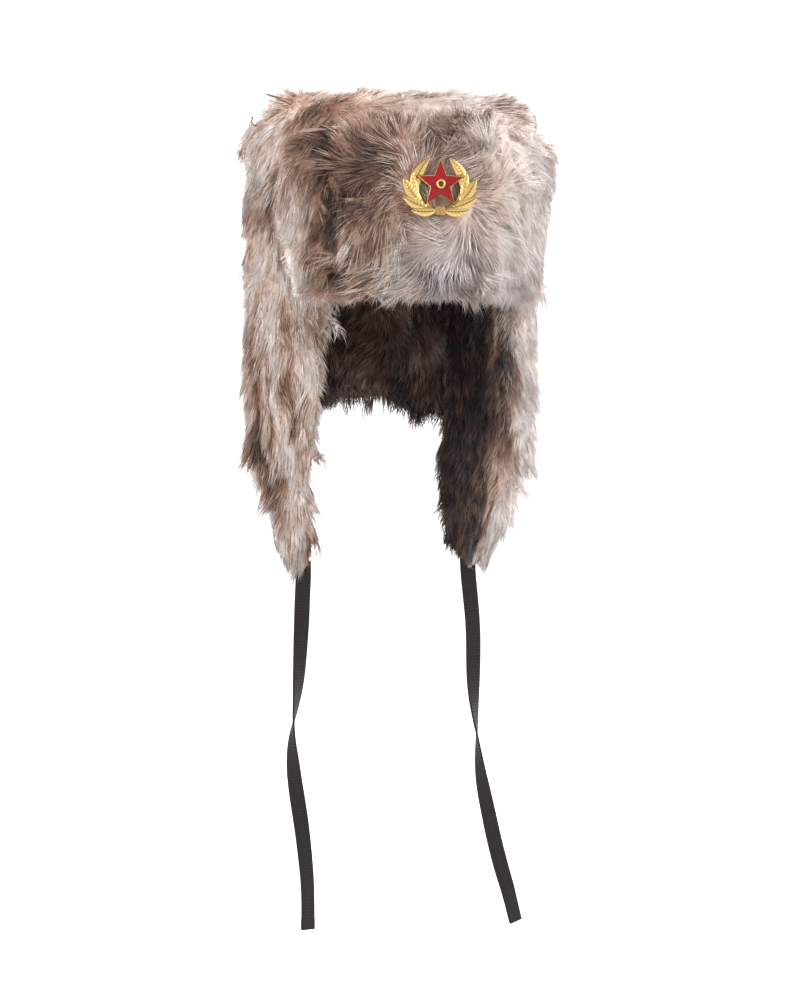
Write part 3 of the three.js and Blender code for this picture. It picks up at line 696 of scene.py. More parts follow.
@dataclass
class Studio:
    """A pale floor that curves up behind, a pale world and soft lamps."""

    floor_height: float = -0.62
    floor_radius: float = 3.4
    rim_radius: float = 4.6
    rim_height: float = 4.2
    steps: int = 16
    sides: int = 96
    white: float = 0.86
    glow: float = 0.85
    world: float = 0.55
    lamps: tuple[SoftBox, ...] = (
        SoftBox("key", (2.2, -1.2, 1.1), 1.2, 57),
        SoftBox("fill", (-2.2, -1.5, 0.6), 1.6, 58),
        SoftBox("top", (0.2, 0.2, 2.3), 1.4, 17),
        SoftBox("edge", (2.2, 1.2, 0.6), 1.2, 44),
    )

    def build(self) -> None:
        """Makes the floor, the world's light and the lamps."""
        self._floor()
        world = bpy.data.worlds.new("pale")
        world.use_nodes = True
        background = world.node_tree.nodes["Background"]
        background.inputs["Color"].default_value = (1, 1, 1, 1)
        background.inputs["Strength"].default_value = self.world
        bpy.context.scene.world = world
        bpy.context.scene.view_settings.view_transform = "Standard"
        for lamp in self.lamps:
            lamp.light()

    def _floor(self) -> None:
        """The floor as one bowl: a flat disc with a rim that curves upwards."""
        bpy.ops.object.select_all(action="DESELECT")
        bpy.ops.mesh.primitive_circle_add(
            vertices=self.sides,
            radius=self.floor_radius,
            fill_type="NGON",
            location=(0, 0, self.floor_height),
        )
        floor = bpy.context.active_object
        floor.name = "floor"
        bpy.ops.object.mode_set(mode="EDIT")
        bpy.ops.mesh.select_mode(type="EDGE")
        bpy.ops.mesh.select_all(action="SELECT")
        radius, height = self.floor_radius, self.floor_height
        for step in range(1, self.steps + 1):
            turn = math.pi / 2 * step / self.steps
            wider = self.floor_radius + (self.rim_radius - self.floor_radius) * math.sin(turn)
            higher = self.floor_height + self.rim_height * (1 - math.cos(turn))
            step_up = {"value": (0, 0, higher - height)}
            bpy.ops.mesh.extrude_edges_move(TRANSFORM_OT_translate=step_up)
            bpy.ops.transform.resize(value=(wider / radius, wider / radius, 1))
            radius, height = wider, higher
        bpy.ops.object.mode_set(mode="OBJECT")
        bpy.ops.object.shade_smooth()
        shading = Shading("floor", 0.6, 40, 0.02)
        pale = shading.finished({
            "Base Color": shading.blotched(shading.plain((self.white,) * 3)),
            "Roughness": 0.8,
            "Emission Color": (1, 1, 1, 1),
            "Emission Strength": self.glow,
        })
        floor.data.materials.append(pale)
        floor.visible_diffuse = False


# Ties


@dataclass(frozen=True)
class TieRow:
    """One place on a tie: how far it has dropped, how far outwards it lies and how it is turned."""

    drop: float
    across: float
    turn: float


@dataclass
class Tie:
    """A flat ribbon that hangs from the tip of an ear flap and turns half round on its way.

    Attributes:
        side: the ear flap that it hangs from.
        rows: its course, from the flap's tip to the cut end.
        length: its length, laid straight; not used.
        root: where it leaves the right ear flap, without the sign of X.
        selvedge, selvedge_swell: the width of its edges' weave and how much thicker they are.
        flatness, squareness: the powers that square off its section, across it and through it.
        hem, hem_thickness, hem_step: the hem's length, its thickness and how soft its end is.
        stitch_inset, stitch_width, stitch_depth: the seam line that holds the hem.
        steps, columns: how finely it is divided along and round its section.
        path_points: how many points of its course to take; not used.
        map_start, map_wide, map_long: where it lies when it is unrolled.
    """

    side: Side
    rows: tuple[TieRow, ...]
    length: float
    root: tuple[float, float, float] = (0.05926, 0.01799, -0.19645)
    width: float = 0.011
    thickness: float = 0.0016
    selvedge: float = 0.0012
    selvedge_swell: float = 0.25
    flatness: float = 0.45
    squareness: float = 0.55
    hem: float = 0.011
    hem_thickness: float = 0.0024
    hem_step: float = 0.0012
    stitch_inset: float = 0.0016
    stitch_width: float = 0.0005
    stitch_depth: float = 0.0008
    steps: int = 130
    columns: int = 20
    path_points: int = 34
    map_start: float = 0.02
    map_wide: float = 0.38
    map_long: float = 0.96

    def build(self, material: Material) -> None:
        centres, broad = self._route()
        way = unit(np.gradient(centres, axis=0))
        broad = unit(broad - along(broad, way) * way)
        face = np.cross(way, broad)
        gone = np.concatenate(([0], np.cumsum(np.linalg.norm(np.diff(centres, axis=0), axis=1))))
        turn = 2 * math.pi * np.arange(self.columns) / self.columns
        flat = np.sign(np.cos(turn)) * np.abs(np.cos(turn)) ** self.flatness
        round_off = np.sign(np.sin(turn)) * np.abs(np.sin(turn)) ** self.squareness
        edge = 1 + self.selvedge_swell * bell((1 - np.abs(flat)) * self.width / 2, self.selvedge)
        left = gone[-1] - gone
        folded = smoothstep(self.hem, self.hem - self.hem_step, left)
        stitch = bell(left - self.hem + self.stitch_inset, self.stitch_width)
        deep = self.thickness + (self.hem_thickness - self.thickness) * folded
        deep -= self.stitch_depth * stitch
        rings = (
            centres[:, None]
            + broad[:, None] * (flat * self.width / 2)[None, :, None]
            + face[:, None] * (round_off * edge)[None, :, None] * (deep / 2)[:, None, None]
        )
        across = np.linspace(self.map_start, self.map_start + self.map_wide, self.columns + 1)
        down = self.map_start + self.map_long * gone / gone[-1]
        node = f"tie_{self.side.name.lower()}"
        piece = grid_object(f"{node}_ribbon", rings, np.stack(np.meshgrid(across, down), axis=-1))
        self._add_weave(piece, gone[-1])
        finish_piece(piece, material, (node,))

    def _route(self) -> tuple[Array, Array]:
        """The ribbon's middle line and the direction of its broad side at each step."""
        table = np.array([(r.drop, r.across, r.turn) for r in self.rows])
        ends = np.vstack((2 * table[0] - table[1], table, 2 * table[-1] - table[-2]))
        places = np.linspace(0, len(table) - 1 - 1e-9, self.steps)
        index = places.astype(int)
        share = (places - index)[:, None]
        a, b, c, d = (ends[index + k] for k in range(4))
        smooth = 0.5 * (
            2 * b
            + (c - a) * share
            + (2 * a - 5 * b + 4 * c - d) * share**2
            + (3 * b - a - 3 * c + d) * share**3
        )
        drop, across, turn = smooth.T
        root = np.array(self.root) * (self.side.value, 1, 1)
        centres = root + np.stack((across * MM, np.zeros_like(drop), -drop * MM), axis=-1)
        turn = np.radians(turn)
        broad = np.stack((np.cos(turn), np.sin(turn), np.zeros_like(turn)), axis=-1)
        return centres, broad

    def _add_weave(self, piece: Object, length: float) -> None:
        """Adds a map in metres along and across the ribbon, which its weave follows."""
        flat = array_of(piece.data.uv_layers["OFBake"].uv, "vector", 2)
        flat[:, 0] = (flat[:, 0] - self.map_start) / self.map_wide * 2 * self.width
        flat[:, 1] = (flat[:, 1] - self.map_start) / self.map_long * length
        store(piece.data.uv_layers.new(name="weave", do_init=False).uv, "vector", flat)


LEFT_TIE_ROWS = tuple(
    TieRow(*row)
    for row in (
        (0, 0, -13), (12, 0.7, -13), (28, 2.3, -5), (42, 3.6, 2), (56, 4.3, 5), (70, 4.4, 8),
        (84, 4.4, 18), (98, 4.8, 35), (112, 5.8, 56), (126, 7.2, 78), (140, 8.4, 101),
        (154, 10.1, 122), (168, 12.6, 140), (183, 15.8, 152), (197, 18.8, 160),
        (211, 22.2, 168), (225, 26, 176), (239, 30.2, 190), (262, 36, 205),
    )
)
RIGHT_TIE_ROWS = tuple(
    TieRow(*row)
    for row in (
        (0, 0, -13), (12, 0, -13), (28, -0.7, -12), (42, -1.2, -2), (56, -1.9, 12),
        (70, -2.6, 24), (84, -3.5, 36), (98, -4.9, 54), (112, -6.8, 76), (126, -8.1, 104),
        (140, -7.7, 130), (155, -6.3, 152), (169, -4.3, 167), (183, -2.2, 178),
        (197, -0.4, 187), (211, 1.1, 194), (225, 2.3, 200), (240, 2.9, 203), (261.5, 2.9, 200),
    )
)


# Cloth


@dataclass(frozen=True)
class Cut:
    """The flat cut of a flap's cloth.

    Attributes:
        width, length: the rectangle that it is cut from; not used.
        area: the cut's own area; not used.
        held: how the cloth is held on the hat; not used.
    """

    width: float
    length: float
    area: float
    held: str = "hung"


EAR_CUT = Cut(0.151, 0.196, 0.0242)
FLAP_CUTS = {
    "front_flap_wall": Cut(0.198, 0.099, 0.0170, "folded"),
    "ear_flap_left_wall": EAR_CUT,
    "ear_flap_right_wall": EAR_CUT,
    "neck_flap_wall": Cut(0.144, 0.096, 0.0112),
}


@dataclass
class ClothWall:
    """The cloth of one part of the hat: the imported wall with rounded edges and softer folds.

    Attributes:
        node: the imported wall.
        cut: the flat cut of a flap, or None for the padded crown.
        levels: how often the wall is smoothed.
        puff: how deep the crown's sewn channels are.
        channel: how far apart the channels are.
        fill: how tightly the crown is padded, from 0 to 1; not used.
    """

    node: str
    cut: Cut | None = None
    levels: int = 1
    puff: float = 0.0
    channel: float = 0.028
    fill: float = 0.35

    def build(self, material: Material) -> None:
        """Makes the cloth."""
        piece = copy_of_node(self.node, f"{self.node}_cloth")
        apply_modifier(piece, "SUBSURF", levels=self.levels, render_levels=self.levels)
        if self.puff:
            self._quilt(piece)
        work_on(piece)
        bpy.ops.object.shade_smooth()
        finish_piece(piece, material, (self.node,))
        if self.cut is None:
            return

    def _quilt(self, piece: Object) -> None:
        """Sinks sewn channels into the face that looks at the head."""
        points, normals = vertices_of(piece), normals_of(piece)
        inward = -along(normals, unit(points - np.array((0, 0, 0.03))))[:, 0]
        turn = np.arctan2(points[:, 0], -points[:, 1])
        around = turn * 0.092
        rise = points[:, 2] + 0.35 * (0.09 - np.hypot(points[:, 0], points[:, 1]))
        one = np.abs(np.sin(math.pi * (around + rise) / self.channel))
        two = np.abs(np.sin(math.pi * (around - rise) / self.channel))
        sunk = bell(np.minimum(one, two), 0.16)
        depth = self.puff * sunk * smoothstep(0.1, 0.6, inward)
        move_vertices(piece, points - normals * depth[:, None])


# Fur


class Tone(Enum):
    """The pelt's tones, from the palest to the darkest, as screen colours."""

    PALE = (250, 240, 234)
    CREAM = (231, 207, 192)
    FAWN = (194, 155, 131)
    BROWN = (138, 99, 80)
    UMBER = (78, 55, 46)
    SABLE = (30, 22, 19)


TONE_STEPS = np.array((0.0, 0.2, 0.42, 0.64, 0.84, 1.0))
TONE_COLOURS = np.array([linear(*tone.value) for tone in Tone])
ASH = np.array((1.045, 0.965, 0.99))


def pelt_colour(dark: Array, ash: Array) -> Array:
    """The linear colour of hair.

    Args:
        dark: from 0, the palest tone, to 1, the darkest.
        ash: from 0, warm, to 1, grey.

    Returns:
        One colour for each value.
    """
    dark = np.clip(dark, 0, 1)
    warm = np.stack([np.interp(dark, TONE_STEPS, TONE_COLOURS[:, k]) for k in range(3)], axis=-1)
    grey = warm.mean(axis=1, keepdims=True) * ASH
    return blend(warm, grey, np.clip(ash, 0, 1)[:, None])


@dataclass(frozen=True)
class Patch:
    """A soft spot of another tone, placed as it is seen from the front; some spots are painted
    shade and painted highlight.

    Attributes:
        across, height: its middle.
        wide, tall: its half width and half height.
        dark: what it adds to the darkness.
        ash: what it adds to the greyness.
    """

    across: float
    height: float
    wide: float
    tall: float
    dark: float
    ash: float = 0.0

    def at(self, points: Array) -> Array:
        """How strongly the patch is felt at each point, from 0 to 1."""
        x = (across_view(points) - self.across) / self.wide
        z = (points[:, 2] - self.height) / self.tall
        return np.exp(-(x * x + z * z))


@dataclass
class Strands:
    """Many hairs, each a closed spindle: a point at the root, one ring and a point at the tip."""

    roots: Array
    middles: Array
    tips: Array
    half_widths: Array
    root_colours: Array
    middle_colours: Array
    tip_colours: Array

    SIDES = 3

    def __len__(self) -> int:
        """The number of hairs."""
        return len(self.roots)

    def only(self, kept: Array) -> "Strands":
        """The hairs that a mask or an order picks out."""
        return Strands(*(getattr(self, field.name)[kept] for field in fields(self)))

    def points(self, spin: Array) -> Array:
        """The vertices, five for each hair: root, ring and tip."""
        way = unit(self.tips - self.roots)
        helper = np.where(np.abs(way[:, 2:3]) < 0.9, UP, np.array((1.0, 0.0, 0.0)))
        first = unit(np.cross(way, helper))
        second = np.cross(way, first)
        ring = []
        for k in range(self.SIDES):
            turn = spin + 2 * math.pi * k / self.SIDES
            out = first * np.cos(turn)[:, None] + second * np.sin(turn)[:, None]
            ring.append(self.middles + out * self.half_widths[:, None])
        return np.stack((self.roots, *ring, self.tips), axis=1).reshape(-1, 3)

    def colours(self) -> Array:
        """The colour of each vertex."""
        middle = self.middle_colours
        stacked = (self.root_colours, middle, middle, middle, self.tip_colours)
        return np.stack(stacked, axis=1).reshape(-1, 3)

    def loops(self) -> Array:
        """The corners of the six triangles of each hair."""
        one = np.array((0, 2, 1, 0, 3, 2, 0, 1, 3, 1, 2, 4, 2, 3, 4, 3, 1, 4))
        return (np.arange(len(self))[:, None] * 5 + one).reshape(-1)

    @staticmethod
    def cell() -> Array:
        """Where the corners of one hair's triangles lie in its cell of the unrolled piece."""
        x = np.arange(4) / 3
        place = []
        for k in range(3):
            place += [((k + 0.5) / 3, 0), (x[k + 1], 0.5), (x[k], 0.5)]
        for k in range(3):
            place += [(x[k], 0.5), (x[k + 1], 0.5), ((k + 0.5) / 3, 1)]
        return np.array(place)


@dataclass
class FurCoat:
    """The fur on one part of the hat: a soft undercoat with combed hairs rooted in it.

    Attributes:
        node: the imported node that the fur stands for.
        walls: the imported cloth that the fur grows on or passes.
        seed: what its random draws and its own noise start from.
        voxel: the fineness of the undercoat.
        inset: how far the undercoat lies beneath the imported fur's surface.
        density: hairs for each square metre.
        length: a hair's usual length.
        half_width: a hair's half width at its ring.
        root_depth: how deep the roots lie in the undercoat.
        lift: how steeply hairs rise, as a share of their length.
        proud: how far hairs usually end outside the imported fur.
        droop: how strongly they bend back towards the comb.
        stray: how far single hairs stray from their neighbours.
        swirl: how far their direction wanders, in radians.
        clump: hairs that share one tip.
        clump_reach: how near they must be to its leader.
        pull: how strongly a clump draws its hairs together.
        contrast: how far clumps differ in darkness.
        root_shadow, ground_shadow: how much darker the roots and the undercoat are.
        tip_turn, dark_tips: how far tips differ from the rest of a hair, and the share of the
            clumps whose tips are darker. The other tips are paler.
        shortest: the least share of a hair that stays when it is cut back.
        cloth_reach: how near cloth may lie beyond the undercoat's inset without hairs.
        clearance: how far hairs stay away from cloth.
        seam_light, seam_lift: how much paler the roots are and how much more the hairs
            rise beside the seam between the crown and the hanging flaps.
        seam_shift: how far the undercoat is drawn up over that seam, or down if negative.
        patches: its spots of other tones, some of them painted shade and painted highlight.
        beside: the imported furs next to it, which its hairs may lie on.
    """

    node: str
    walls: tuple[str, ...]
    seed: int
    voxel: float = 0.0036
    inset: float = 0.0028
    density: float = 482000.0
    length: float = 0.022
    half_width: float = 0.00024
    root_depth: float = 0.0012
    lift: float = 0.3
    proud: float = 0.0026
    droop: float = 0.35
    stray: float = 0.06
    swirl: float = 1.1
    clump: int = 16
    clump_reach: float = 0.0055
    pull: float = 0.38
    contrast: float = 0.38
    root_shadow: float = 0.32
    ground_shadow: float = 0.16
    tip_turn: float = 0.24
    dark_tips: float = 0.25
    shortest: float = 0.22
    cloth_reach: float = 0.0035
    clearance: float = 0.0012
    seam_light: float = 1.2
    seam_lift: float = 0.8
    seam_shift: float = 0.005
    patches: tuple[Patch, ...] = ()
    beside: tuple[str, ...] = ()

    # What each coat decides for itself

    def comb(self, points: Array) -> Array:
        """The direction in which the hairs lie at each point."""
        return np.broadcast_to(DOWN, points.shape)

    def darkness(self, points: Array) -> Array:
        """The darkness of the pelt at each point, without its patches."""
        return 0.45 + self.blotches(points)

    def ashiness(self, points: Array) -> Array:
        """The greyness of the pelt at each point, without its patches."""
        left = smoothstep(-0.06, 0.04, points[:, 0])
        return 0.4 * left - 0.24 + 0.7 * (Mottle((0.04, 0.04, 0.04), 77).at(points) - 0.5)

    def lengths(self, points: Array) -> Array:
        """The length of a hair at each point."""
        return np.full(len(points), self.length)

    def weights(self, points: Array, normals: Array) -> Array:
        """How much of the full density each point has, from 0 to 1."""
        return np.ones(len(points))

    def sunk(self, points: Array, normals: Array) -> Array:
        """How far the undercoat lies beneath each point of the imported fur."""
        return self.inset * (1 - 0.55 * self.seam_light * self.seam(points))

    def settle(self, points: Array) -> Array:
        """Moves points out of spaces that belong to other pieces."""
        return points

    def parts(self, points: Array, normals: Array) -> dict[str, Array]:
        """The pieces that the coat is made in, each with a mask of what belongs to it."""
        return {f"{self.node}_pile": np.ones(len(points), bool)}

    # What all coats share

    @staticmethod
    def seam(points: Array) -> Array:
        """How near each point is to the seam under the crown, from 0 to 1."""
        return bell(points[:, 2], SEAM_REACH)

    def noise(self, points: Array, size: float, step: int) -> Array:
        """The coat's own noise from 0 to 1, with patches of this size."""
        return Mottle((size,) * 3, self.seed + step).at(points)

    @staticmethod
    def blotches(points: Array) -> Array:
        """The pelt's mottling, about 0, from broad blotches to narrow streaks."""
        broad = Mottle((0.034, 0.034, 0.045), 11).at(points) - 0.5
        middle = Mottle((0.013, 0.013, 0.022), 12).at(points) - 0.5
        streak = Mottle((0.0045, 0.0045, 0.02), 13).at(points) - 0.5
        return 0.85 * broad + 0.62 * middle + 0.34 * streak

    def shade(self, points: Array) -> tuple[Array, Array]:
        """The darkness and the greyness at each point, with the patches."""
        dark, ash = self.darkness(points), self.ashiness(points)
        for patch in self.patches:
            felt = patch.at(points)
            dark = dark + patch.dark * felt
            ash = ash + patch.ash * felt
        return dark, ash

    def build(self, material: Material) -> None:
        """Makes the coat's pieces."""
        skin = self._undercoat()
        strands, facing = self._grow(skin)
        surface = (
            vertices_of(skin),
            array_of(skin.data.loops, "vertex_index", kind=np.int32),
            array_of(skin.data.polygons, "loop_total", kind=np.int32),
        )
        bpy.data.objects.remove(skin)
        for name, mask in self.parts(strands.roots, facing).items():
            self._piece(name, strands.only(mask), surface, material)
            surface = (np.empty((0, 3)), np.empty(0, np.int32), np.empty(0, np.int32))

    def _undercoat(self) -> Object:
        """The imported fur, softened and drawn in, as the ground between the hairs."""
        skin = copy_of_node(self.node, f"{self.node}_ground")
        apply_modifier(skin, "REMESH", mode="VOXEL", voxel_size=self.voxel)
        apply_modifier(skin, "SMOOTH", factor=0.5, iterations=10)
        points, normals = vertices_of(skin), normals_of(skin)
        moved = points - normals * self.sunk(points, normals)[:, None]
        moved[:, 2] += self.seam_shift * self.seam(moved)
        move_vertices(skin, self.settle(moved))
        return skin

    def _grow(self, skin: Object) -> tuple[Strands, Array]:
        """Roots hairs all over the open faces of the undercoat, combs and clumps them."""
        random = np.random.default_rng(self.seed)
        roots, normals = self._roots(skin, random)
        count = len(roots)
        comb = unit(self.comb(roots))
        wander = self.noise(roots, 0.032, 1) - 0.5
        wander = wander + 0.8 * (self.noise(roots, 0.012, 2) - 0.5)
        turn = self.swirl * 2 * wander + random.normal(0, 0.1, count)
        comb = self._turned(comb, normals, turn)
        flat = comb - along(comb, normals) * normals
        outward = np.maximum(along(comb, normals), 0)
        rise = self.lift * (0.75 + 0.5 * random.random((count, 1)))
        rise *= 0.4 + 1.2 * self.noise(roots, 0.013, 3)[:, None]
        rise *= 1 + self.seam_lift * self.seam(roots)[:, None]
        first = unit(flat + normals * (outward + rise))
        stray = random.normal(0, self.stray, (count, 3))
        second = unit(first * (1 - self.droop) + comb * self.droop + stray)
        length = self.lengths(roots) * np.clip(random.normal(1, 0.16, count), 0.55, 1.45)
        length *= 0.7 + 0.6 * self.noise(roots, 0.009, 4)
        half = length[:, None] / 2
        base = roots - normals * self.root_depth
        middles = base + first * half
        tips = middles + second * half
        middles, tips, leader = self._clumped(base, middles, tips, random)
        share = self._share_inside(tips, random)
        middles = self.settle(blend(base, middles, share))
        tips = self.settle(blend(base, tips, share))
        kept = self._clear(middles, tips)
        dark, ash = self.shade(base)
        lead = random.random(count)[leader]
        dark = dark + self.contrast * (lead - 0.5) + random.normal(0, 0.08, count)
        # Roots get painted shade, which turns to painted light beside the seam, lifting the shade
        # of the seam's valley
        shadow = self.root_shadow * (1 - self.seam_light * self.seam(base))
        darker = random.random(count)[leader] < self.dark_tips
        turn = np.where(darker, self.tip_turn, -self.tip_turn)
        width = self.half_width * (0.7 + 0.6 * random.random(count))
        colours = [pelt_colour(dark + more, ash) for more in (shadow, 0, turn)]
        strands = Strands(base, middles, tips, width, *colours)
        return strands.only(kept), normals[kept]

    def _roots(self, skin: Object, random: np.random.Generator) -> tuple[Array, Array]:
        """Scatters roots over the undercoat where no cloth lies against it."""
        skin.data.calc_loop_triangles()
        corners = array_of(skin.data.loop_triangles, "vertices", 3, np.int32)
        points, normals = vertices_of(skin), normals_of(skin)
        a, b, c = points[corners[:, 0]], points[corners[:, 1]], points[corners[:, 2]]
        area = np.linalg.norm(np.cross(b - a, c - a), axis=1) / 2
        count = int(area.sum() * self.density)
        chosen = random.choice(len(area), count, p=area / area.sum())
        u, v = random.random((2, count))
        over = u + v > 1
        u, v = np.where(over, 1 - u, u)[:, None], np.where(over, 1 - v, v)[:, None]
        share = (1 - u - v, u, v)
        picked = corners[chosen]
        place = sum(points[picked[:, k]] * share[k] for k in range(3))
        facing = unit(sum(normals[picked[:, k]] * share[k] for k in range(3)))
        kept = random.random(count) < self.weights(place, facing)
        place, facing = place[kept], facing[kept]
        near = tree_of(self.walls)
        reach = self.inset + self.cloth_reach
        open_face = np.ones(len(place), bool)
        for index, (point, out) in enumerate(zip(place, facing)):
            found = near.find_nearest(Vector(point), reach)[0]
            if found is not None:
                towards = found - Vector(point)
                open_face[index] = towards.dot(Vector(out)) < 0.35 * towards.length
        return place[open_face], facing[open_face]

    @staticmethod
    def _turned(comb: Array, normals: Array, turn: Array) -> Array:
        """The comb's directions, turned about the normals."""
        turn = turn[:, None]
        side = np.cross(normals, comb)
        lengthwise = along(comb, normals) * normals
        return comb * np.cos(turn) + side * np.sin(turn) + lengthwise * (1 - np.cos(turn))

    def _clumped(
        self, base: Array, middles: Array, tips: Array, random: np.random.Generator
    ) -> tuple[Array, Array, Array]:
        """Draws the hairs towards the leaders of their clumps.

        Returns:
            The middles, the tips and the index of each hair's leader.
        """
        count = len(base)
        leaders = random.choice(count, max(1, count // self.clump), replace=False)
        tree = KDTree(len(leaders))
        for index, place in zip(leaders, base[leaders]):
            tree.insert(Vector(place), int(index))
        tree.balance()
        leader = np.array([tree.find(Vector(p))[1] for p in base])
        offset = base - base[leader]
        near = np.linalg.norm(offset, axis=1, keepdims=True) < self.clump_reach
        pull = near * self.pull * (0.5 + random.random((count, 1)) * 0.8)
        tips = blend(tips, tips[leader], pull)
        middles = middles + (middles[leader] + 0.55 * offset - middles) * pull * 0.7
        return middles, tips, leader

    def _share_inside(self, tips: Array, random: np.random.Generator) -> Array:
        """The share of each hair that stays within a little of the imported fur's outline."""
        packed = tree_of((self.node, *self.beside))
        allowed = self.proud * (0.1 + 1.8 * random.random(len(tips)) ** 1.6)
        share = np.ones(len(tips))
        for index, tip in enumerate(tips):
            found, normal, _, _ = packed.find_nearest(Vector(tip))
            beyond = (Vector(tip) - found).dot(normal)
            if beyond > allowed[index]:
                share[index] = (allowed[index] + self.inset) / (beyond + self.inset)
        return np.maximum(share, self.shortest)[:, None]

    def _clear(self, middles: Array, tips: Array) -> Array:
        """A mask of the hairs that don't end in cloth."""
        near = tree_of(self.walls)
        return np.array([
            all(near.find_nearest(Vector(spot), self.clearance)[0] is None for spot in spots)
            for spots in zip(middles, tips)
        ])

    def _piece(
        self, name: str, strands: Strands, surface: tuple[Array, Array, Array], material: Material
    ) -> None:
        """Joins hairs and undercoat into one piece, each face with its own place when unrolled."""
        points, corners, counts = surface
        spin = np.random.default_rng(self.seed + 9).random(len(strands)) * 2 * math.pi
        places = np.concatenate((points, strands.points(spin)))
        loops = np.concatenate((corners, strands.loops() + len(points)))
        first_corners = np.cumsum(np.concatenate(([0], counts)))[:-1]
        hair_corners = len(corners) + np.arange(len(strands) * 6) * 3
        starts = np.concatenate((first_corners, hair_corners))
        dark, ash = self.shade(points)
        # The undercoat gets painted shade, which turns to painted light beside the seam
        dark = dark + self.ground_shadow * (1 - self.seam_light * self.seam(points))
        colours = np.concatenate((pelt_colour(dark, ash), strands.colours()))
        piece = mesh_object(name, places, loops, starts, self._unrolled(counts, len(strands)))
        layer = piece.data.color_attributes.new("hair", "FLOAT_COLOR", "POINT")
        store(layer.data, "color", np.column_stack((colours, np.ones(len(colours)))))
        finish_piece(piece, material, (self.node,))

    @staticmethod
    def _unrolled(counts: Array, hairs: int) -> Array:
        """A square cell of the map for each undercoat face and each hair."""
        across = math.ceil(math.sqrt(len(counts) + hairs))
        margin = 0.06
        square = np.array(((0, 0), (1, 0), (1, 1), (0, 1)))
        corner = np.arange(counts.sum()) - np.repeat(np.cumsum(counts) - counts, counts)
        face = np.repeat(np.arange(len(counts)), counts)
        cell = Strands.cell()
        hair = np.repeat(len(counts) + np.arange(hairs), len(cell))
        index = np.concatenate((face, hair)).astype(int)
        inside = np.concatenate((square[corner], np.tile(cell, (hairs, 1))))
        inside = inside * (1 - 2 * margin) + margin
        origin = np.stack((index % across, index // across), axis=-1)
        return (origin + inside) / across


def squeeze(values: Array, limit: Array | float, share: float) -> Array:
    """Draws values above the limit back to a share of what they have beyond it."""
    return np.where(values > limit, blend(limit, values, share), values)


def round_crown(points: Array) -> Array:
    """The level direction away from the crown's middle at each point."""
    return unit(points * (1 / CROWN_HALF[0], 1 / CROWN_HALF[1], 0))


def side_darkness(points: Array) -> Array:
    """The crown's darkness at its sides: mixed browns on the right and behind, pale on the left."""
    left = smoothstep(-0.01, 0.07, points[:, 0])
    back = smoothstep(0.0, 0.06, points[:, 1])
    top = smoothstep(0.1, 0.12, points[:, 2])
    dark = 0.1 + 0.95 * FurCoat.blotches(points) + 0.16 * back * (1 - top)
    return np.maximum(dark - 0.26 * left * (1 - 0.35 * top) * (1 - 0.4 * back), 0.08)


@dataclass
class CrownCoat(FurCoat):
    """The deep fur round the crown and on its top."""

    seam_lift: float = 2.0
    seam_shift: float = -0.005
    crease_height: float = 0.05
    widest: float = 1.24
    sweep: tuple[float, float, float] = (0.75, 0.25, 0.0)

    def comb(self, points: Array) -> Array:
        """Outwards over the top with a sweep to one side, then down the sides."""
        outward = round_crown(points)
        top = outward * 0.9 + np.array(self.sweep)
        side = DOWN + outward * 0.2
        share = smoothstep(0.098, 0.118, points[:, 2])[:, None]
        return side * (1 - share) + top * share

    def settle(self, points: Array) -> Array:
        """Draws in the locks that stand out furthest at the sides."""
        reach = np.hypot(points[:, 0] / CROWN_HALF[0], points[:, 1] / CROWN_HALF[1])
        limit = self.widest - 0.13 * smoothstep(0.095, 0.12, points[:, 2])
        share = squeeze(reach, limit, 0.45) / np.maximum(reach, 1e-6)
        return points * np.stack((share, share, np.ones_like(share)), axis=-1)

    def lengths(self, points: Array) -> Array:
        """Longer at the rim, so that it covers the seam with the hanging flaps."""
        return self.length * (1 + 0.35 * smoothstep(0.02, 0.004, points[:, 2]))

    def weights(self, points: Array, normals: Array) -> Array:
        """Nothing behind the front flap, where nobody sees it."""
        covered = (round_head(points) < 47) & (points[:, 2] < 0.086)
        return np.where(covered, 0.0, np.where(normals[:, 2] > 0.7, 0.75, 1.0))

    def parts(self, points: Array, normals: Array) -> dict[str, Array]:
        """The top and the two halves of the side."""
        top = (points[:, 2] > 0.104) & (normals[:, 2] > 0.25)
        left = points[:, 0] > 0
        return {
            "crown_fur_right_pile": ~top & ~left,
            "crown_fur_left_pile": ~top & left,
            "crown_fur_top_pile": top,
        }

    def darkness(self, points: Array) -> Array:
        """As at the sides, with a shaded crease on the right."""
        left = smoothstep(-0.01, 0.07, points[:, 0])
        crease = bell(points[:, 2] - self.crease_height, 0.006)
        return side_darkness(points) + 0.3 * crease * (1 - left)


